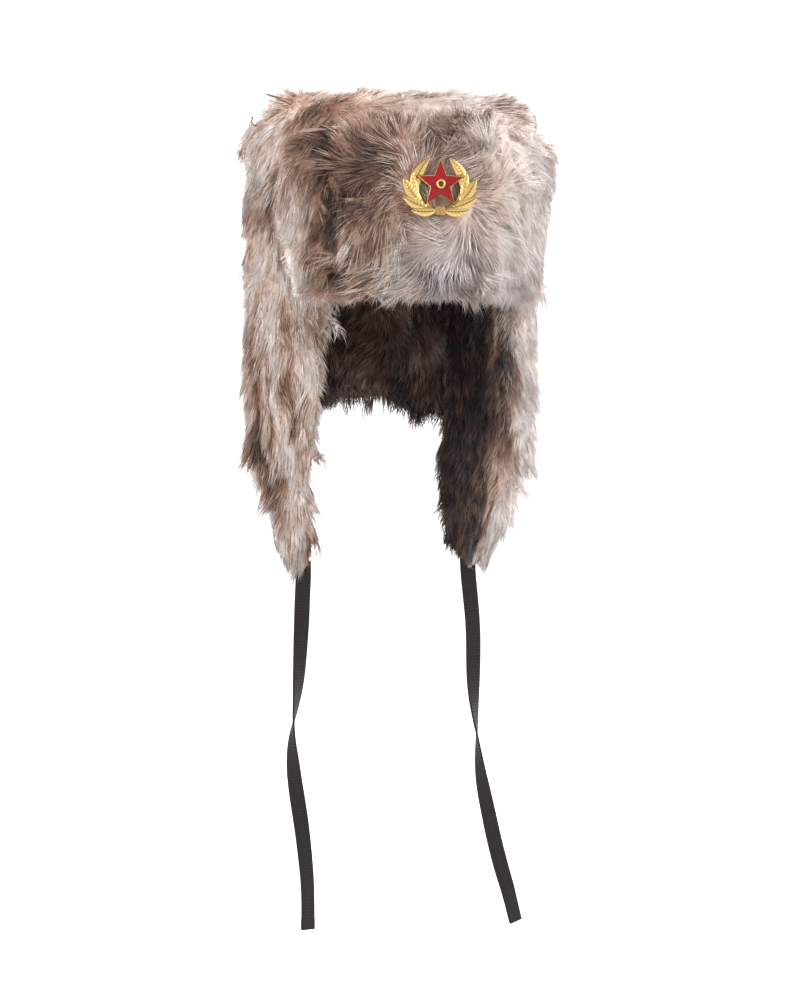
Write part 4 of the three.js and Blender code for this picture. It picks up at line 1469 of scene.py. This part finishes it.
@dataclass
class FrontCoat(FurCoat):
    """The fur on the turned-up front flap, which parts under the badge."""

    swirl: float = 1.8
    inset: float = 0.0008
    length: float = 0.024
    half_width: float = 0.00021
    lift: float = 0.27
    proud: float = 0.0052
    contrast: float = 0.34
    pull: float = 0.34
    seam_light: float = 0.0
    seam_lift: float = 0.0
    seam_shift: float = 0.0
    fullness: float = 0.002
    parting: tuple[float, float, float] = (0.012, -0.139, 0.05)
    badge_side: float = 0.003
    badge_height: float = 0.059
    pocket_wide: float = 0.0294
    pocket_tall: float = 0.0234
    pocket_out: float = 0.13925
    top_edge: float = 0.106
    low_edge: float = -0.0095
    corner: float = 0.078
    half_length: float = 0.0925
    taper: float = 0.012

    def sunk(self, points: Array, normals: Array) -> Array:
        """Less than nothing in front, where the fur closes round the badge."""
        return self.inset - self.fullness * smoothstep(0.3, 0.9, -normals[:, 1])

    def comb(self, points: Array) -> Array:
        """Away from the parting, turning up towards the top edge and down in the fringe."""
        away = points - np.array(self.parting)
        away[:, 1] *= 0.3
        distance = np.linalg.norm(away, axis=1, keepdims=True)
        away = away / (distance + 0.02)
        height = points[:, 2]
        up = smoothstep(0.05, 0.085, height)[:, None]
        down = smoothstep(0.034, 0.0, height)[:, None]
        lean = np.array((-0.3, 0.0, 0.25)) * bell(distance, 0.035)
        aside = np.abs(points[:, 0]) + np.where(points[:, 0] > 0, 0.014, 0)
        sides = smoothstep(0.05, 0.075, aside)[:, None]
        way = away * (1 - 0.75 * up) * (1 - 0.6 * down) + lean
        way = way + np.array((-0.2, 0.0, 0.9)) * up + np.array((0.1, 0.0, -0.75)) * down
        return way * (1 - 0.75 * sides) + DOWN * 0.75 * sides

    def darkness(self, points: Array) -> Array:
        """Mid browns, paler in the fringe and far paler at the left side."""
        fringe = smoothstep(0.004, -0.016, points[:, 2])
        left = smoothstep(0.052, 0.085, across_view(points))
        return 0.335 + 0.9 * self.blotches(points) - 0.14 * fringe - 0.27 * left

    def settle(self, points: Array) -> Array:
        """Keeps the fur behind the badge and its locks near the flap's edges."""
        x = (points[:, 0] - self.badge_side) / self.pocket_wide
        z = (points[:, 2] - self.badge_height) / self.pocket_tall
        inside = (x * x + z * z < 1) & (points[:, 1] < 0)
        moved = points.copy()
        moved[inside, 1] = np.maximum(moved[inside, 1], -self.pocket_out)
        rim = self.top_edge - 0.35 * np.maximum(np.abs(points[:, 0] - 0.012) - 0.045, 0)
        moved[:, 2] = squeeze(moved[:, 2], rim, 0.5)
        past = np.maximum(np.abs(points[:, 0]) - self.corner, 0)
        moved[:, 2] = -squeeze(-moved[:, 2], -self.low_edge - 0.9 * past, 0.55)
        width = self.half_length - self.taper * smoothstep(0.045, -0.012, points[:, 2])
        moved[:, 0] = np.sign(moved[:, 0]) * squeeze(np.abs(moved[:, 0]), width, 0.35)
        return moved


@dataclass
class FlapCoat(FurCoat):
    """The fur on both faces of a hanging flap.

    Attributes:
        inner_length: the length of a hair on the inner face.
    """

    inner_length: float = 0.015

    def middle(self, points: Array) -> tuple[Array, Array]:
        """Half the width and half the length of the cloth's round at each point's height."""
        size = np.ones(len(points))
        return 0.0838 * size, 0.1055 * size

    def inner(self, points: Array) -> Array:
        """From 0 on the outer face to 1 on the inner one."""
        half_width, half_length = self.middle(points)
        reach = np.hypot(points[:, 0] / half_width, points[:, 1] / half_length)
        return smoothstep(1.02, 0.97, reach)

    def lengths(self, points: Array) -> Array:
        """Shorter inside."""
        inner = self.inner(points)
        return self.length * (1 - inner) + self.inner_length * inner


@dataclass
class EarCoat(FlapCoat):
    """The fur on both faces of an ear flap."""

    swirl: float = 0.9
    side: Side = Side.RIGHT
    low_edge: float = -0.2
    tip: tuple[float, float] = (0.0593, 0.018)
    narrowing: float = 0.5
    front_edge: float = 0.074
    tip_reach: float = 0.005

    def sunk(self, points: Array, normals: Array) -> Array:
        """Less than nothing under the tip, where the fur closes round the tie."""
        low = smoothstep(-0.155, -0.18, points[:, 2]) * np.maximum(-normals[:, 2], 0)
        return super().sunk(points, normals) - self.tip_reach * low

    def settle(self, points: Array) -> Array:
        """Draws the locks together towards the flap's tip and back from the face."""
        moved = points.copy()
        if self.side is Side.RIGHT:
            moved[:, 1] = -squeeze(-moved[:, 1], self.front_edge, 0.35)
        moved[:, 2] = -squeeze(-moved[:, 2], -self.low_edge, 0.6)
        tip = np.array((self.tip[0] * self.side.value, self.tip[1]))
        share = 1 - self.narrowing * smoothstep(-0.168, -0.205, moved[:, 2])
        moved[:, :2] = blend(tip, moved[:, :2], share[:, None])
        return moved

    def middle(self, points: Array) -> tuple[Array, Array]:
        """Drawn in towards the tip."""
        drop = -points[:, 2]
        drops = (0, 0.08, 0.125, 0.185, 0.215)
        half_width = 0.0835 * np.interp(drop, drops, (1, 1.01, 0.93, 0.742, 0.694))
        return half_width, np.interp(drop, drops[:3], (0.1035, 0.11, 0.115))

    def ashiness(self, points: Array) -> Array:
        """Warmer inside."""
        return super().ashiness(points) - 0.2 * self.inner(points)

    def weights(self, points: Array, normals: Array) -> Array:
        """Thinner inside."""
        return 1 - 0.28 * self.inner(points)

    def comb(self, points: Array) -> Array:
        """Down, and a little forwards near the front edge."""
        angle = round_head(points)
        front = smoothstep(80, 58, angle)[:, None]
        forwards = np.array((-0.25 * self.side.value, -1.0, 0.0))
        outward = round_crown(points) * (1 - 2 * self.inner(points))[:, None]
        return DOWN + forwards * 0.5 * front + outward * 0.12

    def darkness(self, points: Array) -> Array:
        """Streaked browns on the right flap, pale on the left, and dark inside."""
        inner = self.inner(points)
        streak = Mottle((0.01, 0.01, 0.055), 21).at(points) - 0.5
        angle = round_head(points)
        if self.side is Side.LEFT:
            outer = -0.02 + 0.34 * self.blotches(points) - 0.28 * smoothstep(84, 72, angle)
            # Brown towards the front, except the strip seen furthest right from the front, which
            # stays pale as painted light
            rim = smoothstep(72, 62, angle) * smoothstep(0.089, 0.081, across_view(points))
            outer = blend(outer, 0.56 + 0.5 * self.blotches(points) + 0.4 * streak, rim)
        else:
            outer = 0.27 + 1.05 * self.blotches(points) + 0.95 * streak
            outer = outer - 0.3 * smoothstep(-0.13, -0.19, points[:, 2])
            edge = smoothstep(66, 58, angle) * smoothstep(-0.06, -0.03, points[:, 2])
            outer = outer + 0.3 * edge
        outer = blend(outer, side_darkness(points), smoothstep(-0.035, -0.004, points[:, 2]))
        front = smoothstep(88, 64, angle)
        # The inner faces: a dark lining fur, whose darkness also stands in as painted shade inside
        # the hat
        dark_inside = 0.98 - 0.34 * front + (0.2 + 0.5 * front) * self.blotches(points)
        if self.side is Side.RIGHT:
            pale = smoothstep(78, 66, angle) + smoothstep(-0.14, -0.18, points[:, 2])
            dark_inside = dark_inside - 0.55 * np.clip(pale, 0, 1)
        else:
            # The inner face, too, is paler in the strip seen furthest right: painted light
            pale = smoothstep(0.081, 0.089, across_view(points)) * smoothstep(92, 80, angle)
            dark_inside = dark_inside - 0.95 * pale
        return outer * (1 - inner) + dark_inside * inner

    def lengths(self, points: Array) -> Array:
        """Shorter inside, longer over the tie."""
        return super().lengths(points) * (1 + 0.4 * smoothstep(-0.16, -0.18, points[:, 2]))


@dataclass
class NeckCoat(FlapCoat):
    """The fur on both faces of the neck flap."""

    def darkness(self, points: Array) -> Array:
        """Mixed browns behind and dark inside."""
        inner = self.inner(points)
        outer = 0.4 + self.blotches(points) - 0.2 * smoothstep(0.0, 0.06, points[:, 0])
        outer = blend(outer, side_darkness(points), smoothstep(-0.04, -0.004, points[:, 2]))
        hem = smoothstep(-0.058, -0.08, points[:, 2])
        outer = blend(outer, 0.86, hem)
        # The inner face: a dark lining fur, whose darkness also stands in as painted shade
        lining = 0.62 + 0.65 * self.blotches(points) + 0.2 * hem
        return outer * (1 - inner) + lining * inner


FRONT_PATCHES = (
    Patch(-0.026, 0.06, 0.024, 0.026, 0.56),
    Patch(-0.04, 0.074, 0.012, 0.012, 0.22),
    Patch(-0.053, 0.046, 0.011, 0.026, -0.4),
    Patch(-0.02, 0.006, 0.022, 0.014, 0.36),
    Patch(-0.043, 0.002, 0.008, 0.01, -0.25),
    Patch(0.016, 0.088, 0.036, 0.02, 0.3),
    Patch(-0.012, 0.024, 0.034, 0.02, 0.12, 0.1),
    Patch(0.052, 0.06, 0.013, 0.02, 0.1),
    Patch(0.036, 0.014, 0.05, 0.02, -0.24, 0.5),
    Patch(0.066, 0.006, 0.03, 0.014, -0.4),
    Patch(0.062, 0.05, 0.017, 0.011, 0.22),
    Patch(-0.02, -0.004, 0.05, 0.009, 0.12, 0.3),
    # Painted highlight along the folded edge at the flap's side, and a painted shadow line just
    # outside it
    Patch(-0.065, 0.028, 0.007, 0.05, -0.62),
    Patch(-0.076, 0.03, 0.005, 0.05, 0.4),
    Patch(0.086, 0.04, 0.026, 0.07, -0.26),
    Patch(-0.1, 0.088, 0.016, 0.016, -0.3),
    # Painted shade: a dark band where the flap's edge meets the crown, as in a fold
    Patch(0.108, 0.064, 0.009, 0.045, 0.5),
    Patch(0.06, 0.099, 0.022, 0.012, 0.16),
)
CROWN_PATCHES = (
    Patch(0.02, 0.125, 0.05, 0.014, -0.24),
    Patch(-0.036, 0.13, 0.014, 0.009, 0.55),
    Patch(-0.093, 0.114, 0.011, 0.011, 0.62),
    Patch(-0.105, 0.096, 0.006, 0.008, 0.5),
    Patch(-0.072, 0.122, 0.014, 0.009, 0.3),
    # Painted shadow line on the crown beside the front flap's side edge
    Patch(-0.077, 0.03, 0.005, 0.05, 0.3),
    Patch(-0.088, 0.09, 0.02, 0.03, -0.2),
    Patch(-0.088, 0.02, 0.02, 0.03, -0.14),
    Patch(-0.083, 0.043, 0.011, 0.02, -0.2),
    Patch(-0.072, 0.085, 0.012, 0.018, -0.25),
    # Painted shade: a dark band where the crown meets the front flap's edge, as in a fold
    Patch(0.109, 0.07, 0.007, 0.048, 0.95),
    Patch(0.074, 0.121, 0.013, 0.011, 0.5),
)
EAR_PATCHES = (
    Patch(-0.086, -0.094, 0.015, 0.026, 0.38),
    Patch(-0.083, -0.152, 0.012, 0.012, -0.45),
    Patch(-0.056, -0.1, 0.012, 0.04, -0.14),
    Patch(-0.067, -0.04, 0.014, 0.016, -0.12),
    Patch(-0.068, -0.16, 0.01, 0.012, -0.12),
    Patch(0.079, -0.028, 0.008, 0.018, -0.4),
    Patch(0.078, -0.14, 0.013, 0.026, -0.45),
    Patch(0.093, -0.09, 0.008, 0.05, -0.2),
)


# Badge


@dataclass(frozen=True)
class Leaf:
    """One leaf of the wreath, from its root to its tip, in millimetres on the badge.

    It bows away from the star by its bow.
    """

    root_x: float
    root_y: float
    tip_x: float
    tip_y: float
    width: float
    bow: float
    lift: float


@dataclass(frozen=True)
class StalkRow:
    """One place on the wreath's stalk, in millimetres on the badge."""

    x: float
    y: float
    width: float


@dataclass
class Badge:
    """A gilt wreath and star border with red enamel and a plain ring in the middle.

    All sizes but its place are millimetres, before the scale.

    Attributes:
        place: the badge's middle on the hat, in metres.
        star_notch: how near to the middle the star's notches lie, as a share of its points.
        plate, rim: the height of the star's plate and of the border on it.
        enamel_foot, enamel_edge, enamel_peak: where the enamel starts above the plate, and the
            height of its edge and of its middle.
        leaf_edge, leaf_ridge: a leaf's thickness at its edge and in its middle.
        rib_width, vein_width: shares of half a leaf's width and of the gap between veins.
        vein_slant: how far the veins run ahead towards the tip.
    """

    place: tuple[float, float, float] = (0.003, -0.1395, 0.059)
    scale: float = 0.98
    star_lift: float = 0.9
    star_radius: float = 16.5
    star_notch: float = 0.43
    border: float = 0.36
    border_gap: float = 0.06
    plate: float = 1.0
    rim: float = 2.2
    enamel_foot: float = 0.05
    enamel_edge: float = 1.9
    enamel_peak: float = 3.2
    ring_radius: float = 2.45
    ring_bar: float = 0.66
    ring_flatness: float = 0.8
    ring_lift: float = 0.25
    dish_radius: float = 2.2
    dish_sink: float = 0.45
    post_radius: float = 1.4
    post_length: float = 19.0
    post_top: float = 0.4
    band_size: tuple[float, float, float] = (6.4, 5.4, 2.4)
    band_drop: float = 17.6
    leaf_edge: float = 0.6
    leaf_ridge: float = 1.5
    rib_width: float = 0.09
    rib_depth: float = 0.3
    vein_gap: float = 2.3
    vein_slant: float = 1.1
    vein_width: float = 0.3
    vein_depth: float = 0.26
    leaf_rows: int = 46
    leaf_columns: int = 13
    stalk_thick: float = 0.9
    leaves: tuple[Leaf, ...] = (
        Leaf(17.2, -5.5, 6.8, 17.6, 7.2, 2.6, 0.0),
        Leaf(15.0, -9.0, 18.2, 7.6, 5.4, 0.8, 0.3),
        Leaf(13.4, -12.0, 24.8, 3.4, 7.6, 0.9, 0.7),
        Leaf(8.6, -15.6, 25.2, -8.4, 7.2, 0.8, 1.0),
        Leaf(2.8, -17.6, 19.6, -17.2, 6.6, 0.9, 1.3),
    )
    stalk: tuple[StalkRow, ...] = (
        StalkRow(0, -18.6, 5),
        StalkRow(7, -16.4, 4.8),
        StalkRow(13, -11.6, 4.4),
        StalkRow(16, -5, 3.6),
        StalkRow(16, 2, 2.6),
    )

    def build(self, gilt: Material, enamel: Material) -> None:
        """Makes the badge's pieces."""
        for piece, lift, material, slot, node in (
            (self._star_border(), self.star_lift, gilt, Slot.GILT, "badge"),
            (self._enamel_star(), self.star_lift, enamel, Slot.ENAMEL, "badge_enamel"),
            (self._ring(), self.star_lift, gilt, Slot.GILT, "badge"),
            (self._wreath(), 0, gilt, Slot.GILT, "badge"),
        ):
            self._set_in_place(piece, lift)
            finish_piece(piece, material, (node,))

    def _set_in_place(self, piece: Object, lift: float) -> None:
        """Stands a piece that was made flat, in millimetres, on the front of the flap.

        Args:
            piece: the piece, with the badge's middle at the origin.
            lift: how far it is brought forwards first.
        """
        place = Matrix.Translation(self.place) @ Matrix.Rotation(math.pi / 2, 4, "X")
        size = Matrix.Scale(MM * self.scale, 4) @ Matrix.Translation((0, 0, lift))
        piece.data.transform(place @ size)
        piece.data.update()

    def _star_disc(self, name: str, radius: float, height: float) -> Object:
        """A flat five-pointed face with one point up, in edit mode with all of it selected."""
        add = bpy.ops.mesh.primitive_circle_add
        piece = basic_form(add, vertices=10, radius=radius, fill_type="NGON")
        piece.name = name
        piece.data.name = name
        for vertex in piece.data.vertices:
            turn = math.atan2(vertex.co.x, vertex.co.y)
            tip = round(turn / HALF_POINT) % 2 == 0
            vertex.co *= 1 if tip else self.star_notch
            vertex.co.z = height
        edit_all(piece)
        return piece

    def _star_border(self) -> Object:
        """The star's plate with its raised border."""
        piece = self._star_disc("badge_star_border", self.star_radius, 0)
        extrude(self.rim)
        bpy.ops.mesh.inset(thickness=self.border, use_even_offset=True)
        extrude(self.plate - self.rim)
        turn_outwards()
        apply_modifier(piece, "BEVEL", width=0.22, segments=2, limit_method="ANGLE")
        self._smooth(piece)
        return piece

    def _enamel_star(self) -> Object:
        """The enamel: ten slopes that rise to the middle, with softened edges."""
        aside = self.star_notch * math.sin(HALF_POINT)
        reach = aside / math.hypot(1 - self.star_notch * math.cos(HALF_POINT), aside)
        radius = self.star_radius - (self.border + self.border_gap) / reach
        piece = self._star_disc("badge_enamel_star", radius, self.plate + self.enamel_foot)
        extrude(self.enamel_edge - self.plate - self.enamel_foot)
        bpy.ops.mesh.poke(offset=self.enamel_peak - self.enamel_edge)
        turn_outwards()
        apply_modifier(piece, "BEVEL", width=0.3, segments=3, limit_method="ANGLE")
        self._smooth(piece)
        return piece

    def _ring(self) -> Object:
        """The plain ring in the middle of the star, round a sunk dish."""
        ring = basic_form(
            bpy.ops.mesh.primitive_torus_add, major_radius=self.ring_radius,
            minor_radius=self.ring_bar, major_segments=40, minor_segments=14,
        )
        for vertex in ring.data.vertices:
            vertex.co.z = vertex.co.z * self.ring_flatness + self.enamel_peak + self.ring_lift
        add = bpy.ops.mesh.primitive_cylinder_add
        dish = basic_form(add, vertices=28, radius=self.dish_radius, depth=1)
        for vertex in dish.data.vertices:
            vertex.co.z += self.enamel_peak - self.dish_sink
        # The sunk dish gets full painted shade
        self._set_recess(dish, np.ones(len(dish.data.vertices)))
        return self._joined("badge_ring", [ring, dish])

    def _wreath(self) -> Object:
        """The leaves, their stalks, the band at the foot and the hidden post."""
        made = []
        for hand in (-1, 1):
            made += [self._leaf(leaf, hand) for leaf in self.leaves]
            made.append(self._stalk(hand))
        made.append(self._band())
        add = bpy.ops.mesh.primitive_cylinder_add
        post = basic_form(add, vertices=20, radius=self.post_radius, depth=self.post_length)
        for vertex in post.data.vertices:
            vertex.co.z += self.post_top - self.post_length / 2
        made.append(post)
        return self._joined("badge_wreath", made)

    def _star_reach(self, spots: Array) -> Array:
        """How far the star reaches from its middle towards each spot."""
        turn = np.arctan2(np.abs(spots[..., 0]), spots[..., 1]) % (2 * HALF_POINT)
        turn = np.minimum(turn, 2 * HALF_POINT - turn)
        notch = self.star_radius * self.star_notch
        run, drop = notch * math.sin(HALF_POINT), self.star_radius - notch * math.cos(HALF_POINT)
        return self.star_radius * run / (run * np.cos(turn) + drop * np.sin(turn))

    @staticmethod
    def _set_recess(piece: Object, shade_amounts: Array) -> None:
        """Stores how much painted shade darkens the gilt at each vertex, from 0 to 1."""
        store(piece.data.attributes.new("recess", "FLOAT", "POINT").data, "value", shade_amounts)

    def _leaf(self, leaf: Leaf, hand: int) -> Object:
        """A pointed leaf with a midrib and veins that slant towards its tip."""
        root = np.array((leaf.root_x * hand, leaf.root_y))
        tip = np.array((leaf.tip_x * hand, leaf.tip_y))
        reach = np.linalg.norm(tip - root)
        way = (tip - root) / reach
        side = np.array((-way[1], way[0]))
        share = np.linspace(0.0, 1.0, self.leaf_rows)
        half = leaf.width / 2 * np.sin(math.pi * share**0.85) ** 0.7 + 0.04
        column = np.linspace(-1, 1, self.leaf_columns)
        bow = -hand * leaf.bow * np.sin(math.pi * share)
        s, t = np.meshgrid(column, share)
        middle = root + way * reach * share[:, None] + side * bow[:, None]
        spot = middle[:, None] + side * (s * half[:, None])[..., None]
        turns = t * reach / self.vein_gap - np.abs(s) * self.vein_slant
        rib = bell(s, self.rib_width)
        groove = bell(np.abs(np.sin(math.pi * turns)), self.vein_width)
        groove = groove * np.clip(1 - np.abs(s), 0, 1) ** 0.3
        dome = (self.leaf_ridge - self.leaf_edge) * (1 - s * s) * np.sin(math.pi * t**0.7) ** 0.5
        top = self.leaf_edge + dome - self.vein_depth * groove - self.rib_depth * rib + leaf.lift
        # Painted shade in the veins and the midrib, along the edges and all over the underside, and
        # the star's painted shadow on the leaves
        rim = smoothstep(0.8, 1.0, np.abs(s))
        shadow = smoothstep(1.14, 1.03, np.hypot(*spot.T).T / self._star_reach(spot))
        recess = np.clip(0.75 * groove + 0.9 * rib + 0.7 * rim + shadow, 0, 1)
        upper = np.dstack((spot, top))
        lower = np.dstack((spot, np.full_like(top, leaf.lift * 0.6)))
        rings = np.concatenate((upper, lower[:, ::-1]), axis=1)
        shade_amounts = np.concatenate((recess, np.ones_like(recess)), axis=1)
        piece = grid_object("leaf", rings[:, ::-1])
        self._set_recess(piece, shade_amounts[:, ::-1])
        return piece

    def _stalk(self, hand: int) -> Object:
        """The stalk that carries the leaves of one side."""
        rows = np.array([(r.x * hand, r.y, r.width) for r in self.stalk])
        places = np.linspace(0, len(rows) - 1, 28)
        x, y, width = (np.interp(places, np.arange(len(rows)), rows[:, k]) for k in range(3))
        line = np.stack((x, y), axis=-1)
        way = unit(np.gradient(line, axis=0))
        side = np.stack((-way[:, 1], way[:, 0]), axis=-1)
        turn = np.linspace(0, math.pi, 9)
        s, height = np.cos(turn), np.sin(turn) * self.stalk_thick
        spot = line[:, None] + side[:, None] * (s[None, :] * width[:, None] / 2)[..., None]
        rings = np.dstack((spot, np.broadcast_to(height, spot.shape[:2])))
        piece = grid_object("stalk", rings)
        # The stalk, beneath the leaves, gets part painted shade all over
        self._set_recess(piece, np.full(rings.shape[:2], 0.6))
        return piece

    def _band(self) -> Object:
        """The wrapped band at the wreath's foot."""
        band = basic_form(bpy.ops.mesh.primitive_cube_add, size=1)
        wide, tall, thick = self.band_size
        for vertex in band.data.vertices:
            x, y, z = vertex.co
            vertex.co = (x * wide, y * tall - self.band_drop, z * thick + thick / 2)
        edit_all(band)
        bpy.ops.mesh.subdivide(number_cuts=11)
        bpy.ops.object.mode_set(mode="OBJECT")
        # Painted shade: full on the band's sides and in the grooves between its wraps, least on the
        # wraps' raised tops
        shade_amounts = []
        for vertex in band.data.vertices:
            top = max(vertex.co.z, 0) / thick
            bulge = math.cos(vertex.co.x / wide * math.pi * 0.9)
            wrap = abs(math.sin((vertex.co.y + 0.3 * vertex.co.x) * math.pi / 1.35))
            shade_amounts.append(1 - 0.8 * top * wrap)
            vertex.co.z += top * (0.5 * bulge + 0.18 * wrap - 0.4)
        self._set_recess(band, np.array(shade_amounts))
        return band

    @staticmethod
    def _smooth(piece: Object) -> None:
        """Smooths the piece and keeps its sharp edges."""
        work_on(piece)
        bpy.ops.object.shade_smooth_by_angle(angle=math.radians(32))

    def _joined(self, name: str, made: list[Object]) -> Object:
        """Joins objects into one piece with its faces turned outwards."""
        work_on(made[0])
        for other in made[1:]:
            other.select_set(True)
        bpy.ops.object.join()
        piece = bpy.context.active_object
        piece.name = name
        piece.data.name = name
        edit_all(piece)
        turn_outwards()
        self._smooth(piece)
        return piece


def main() -> None:
    """Builds the hat and the studio round it."""
    logging.basicConfig(level=logging.INFO, format="%(message)s")
    Viewpoint().place()
    ribbon = RibbonFinish().make()
    Tie(Side.LEFT, LEFT_TIE_ROWS, length=0.267).build(ribbon)
    Tie(Side.RIGHT, RIGHT_TIE_ROWS, length=0.262).build(ribbon)
    Studio().build()
    lining = ClothFinish("lining", linear(52, 44, 42)).make()
    backing = ClothFinish("backing", linear(70, 58, 52)).make()
    ClothWall("crown_wall", levels=2, puff=0.0011).build(lining)
    for node, cut in FLAP_CUTS.items():
        ClothWall(node, cut).build(backing)
    Badge().build(GiltFinish().make(), EnamelFinish().make())
    pile = FurFinish().make()
    CrownCoat(
        "crown_fur", ("crown_wall", "front_flap_wall"), seed=101, patches=CROWN_PATCHES,
        beside=("ear_flap_left_fur", "ear_flap_right_fur", "neck_flap_fur", "front_flap_fur"),
    ).build(pile)
    FrontCoat(
        "front_flap_fur", ("front_flap_wall", "crown_wall"), seed=202, density=715000,
        patches=FRONT_PATCHES,
    ).build(pile)
    for side, seed in ((Side.RIGHT, 303), (Side.LEFT, 404)):
        name = side.name.lower()
        EarCoat(
            f"ear_flap_{name}_fur", (f"ear_flap_{name}_wall",), seed=seed, side=side,
            patches=EAR_PATCHES,
        ).build(pile)
    NeckCoat("neck_flap_fur", ("neck_flap_wall",), seed=505, density=440000).build(pile)


if __name__ == "__main__":
    main()
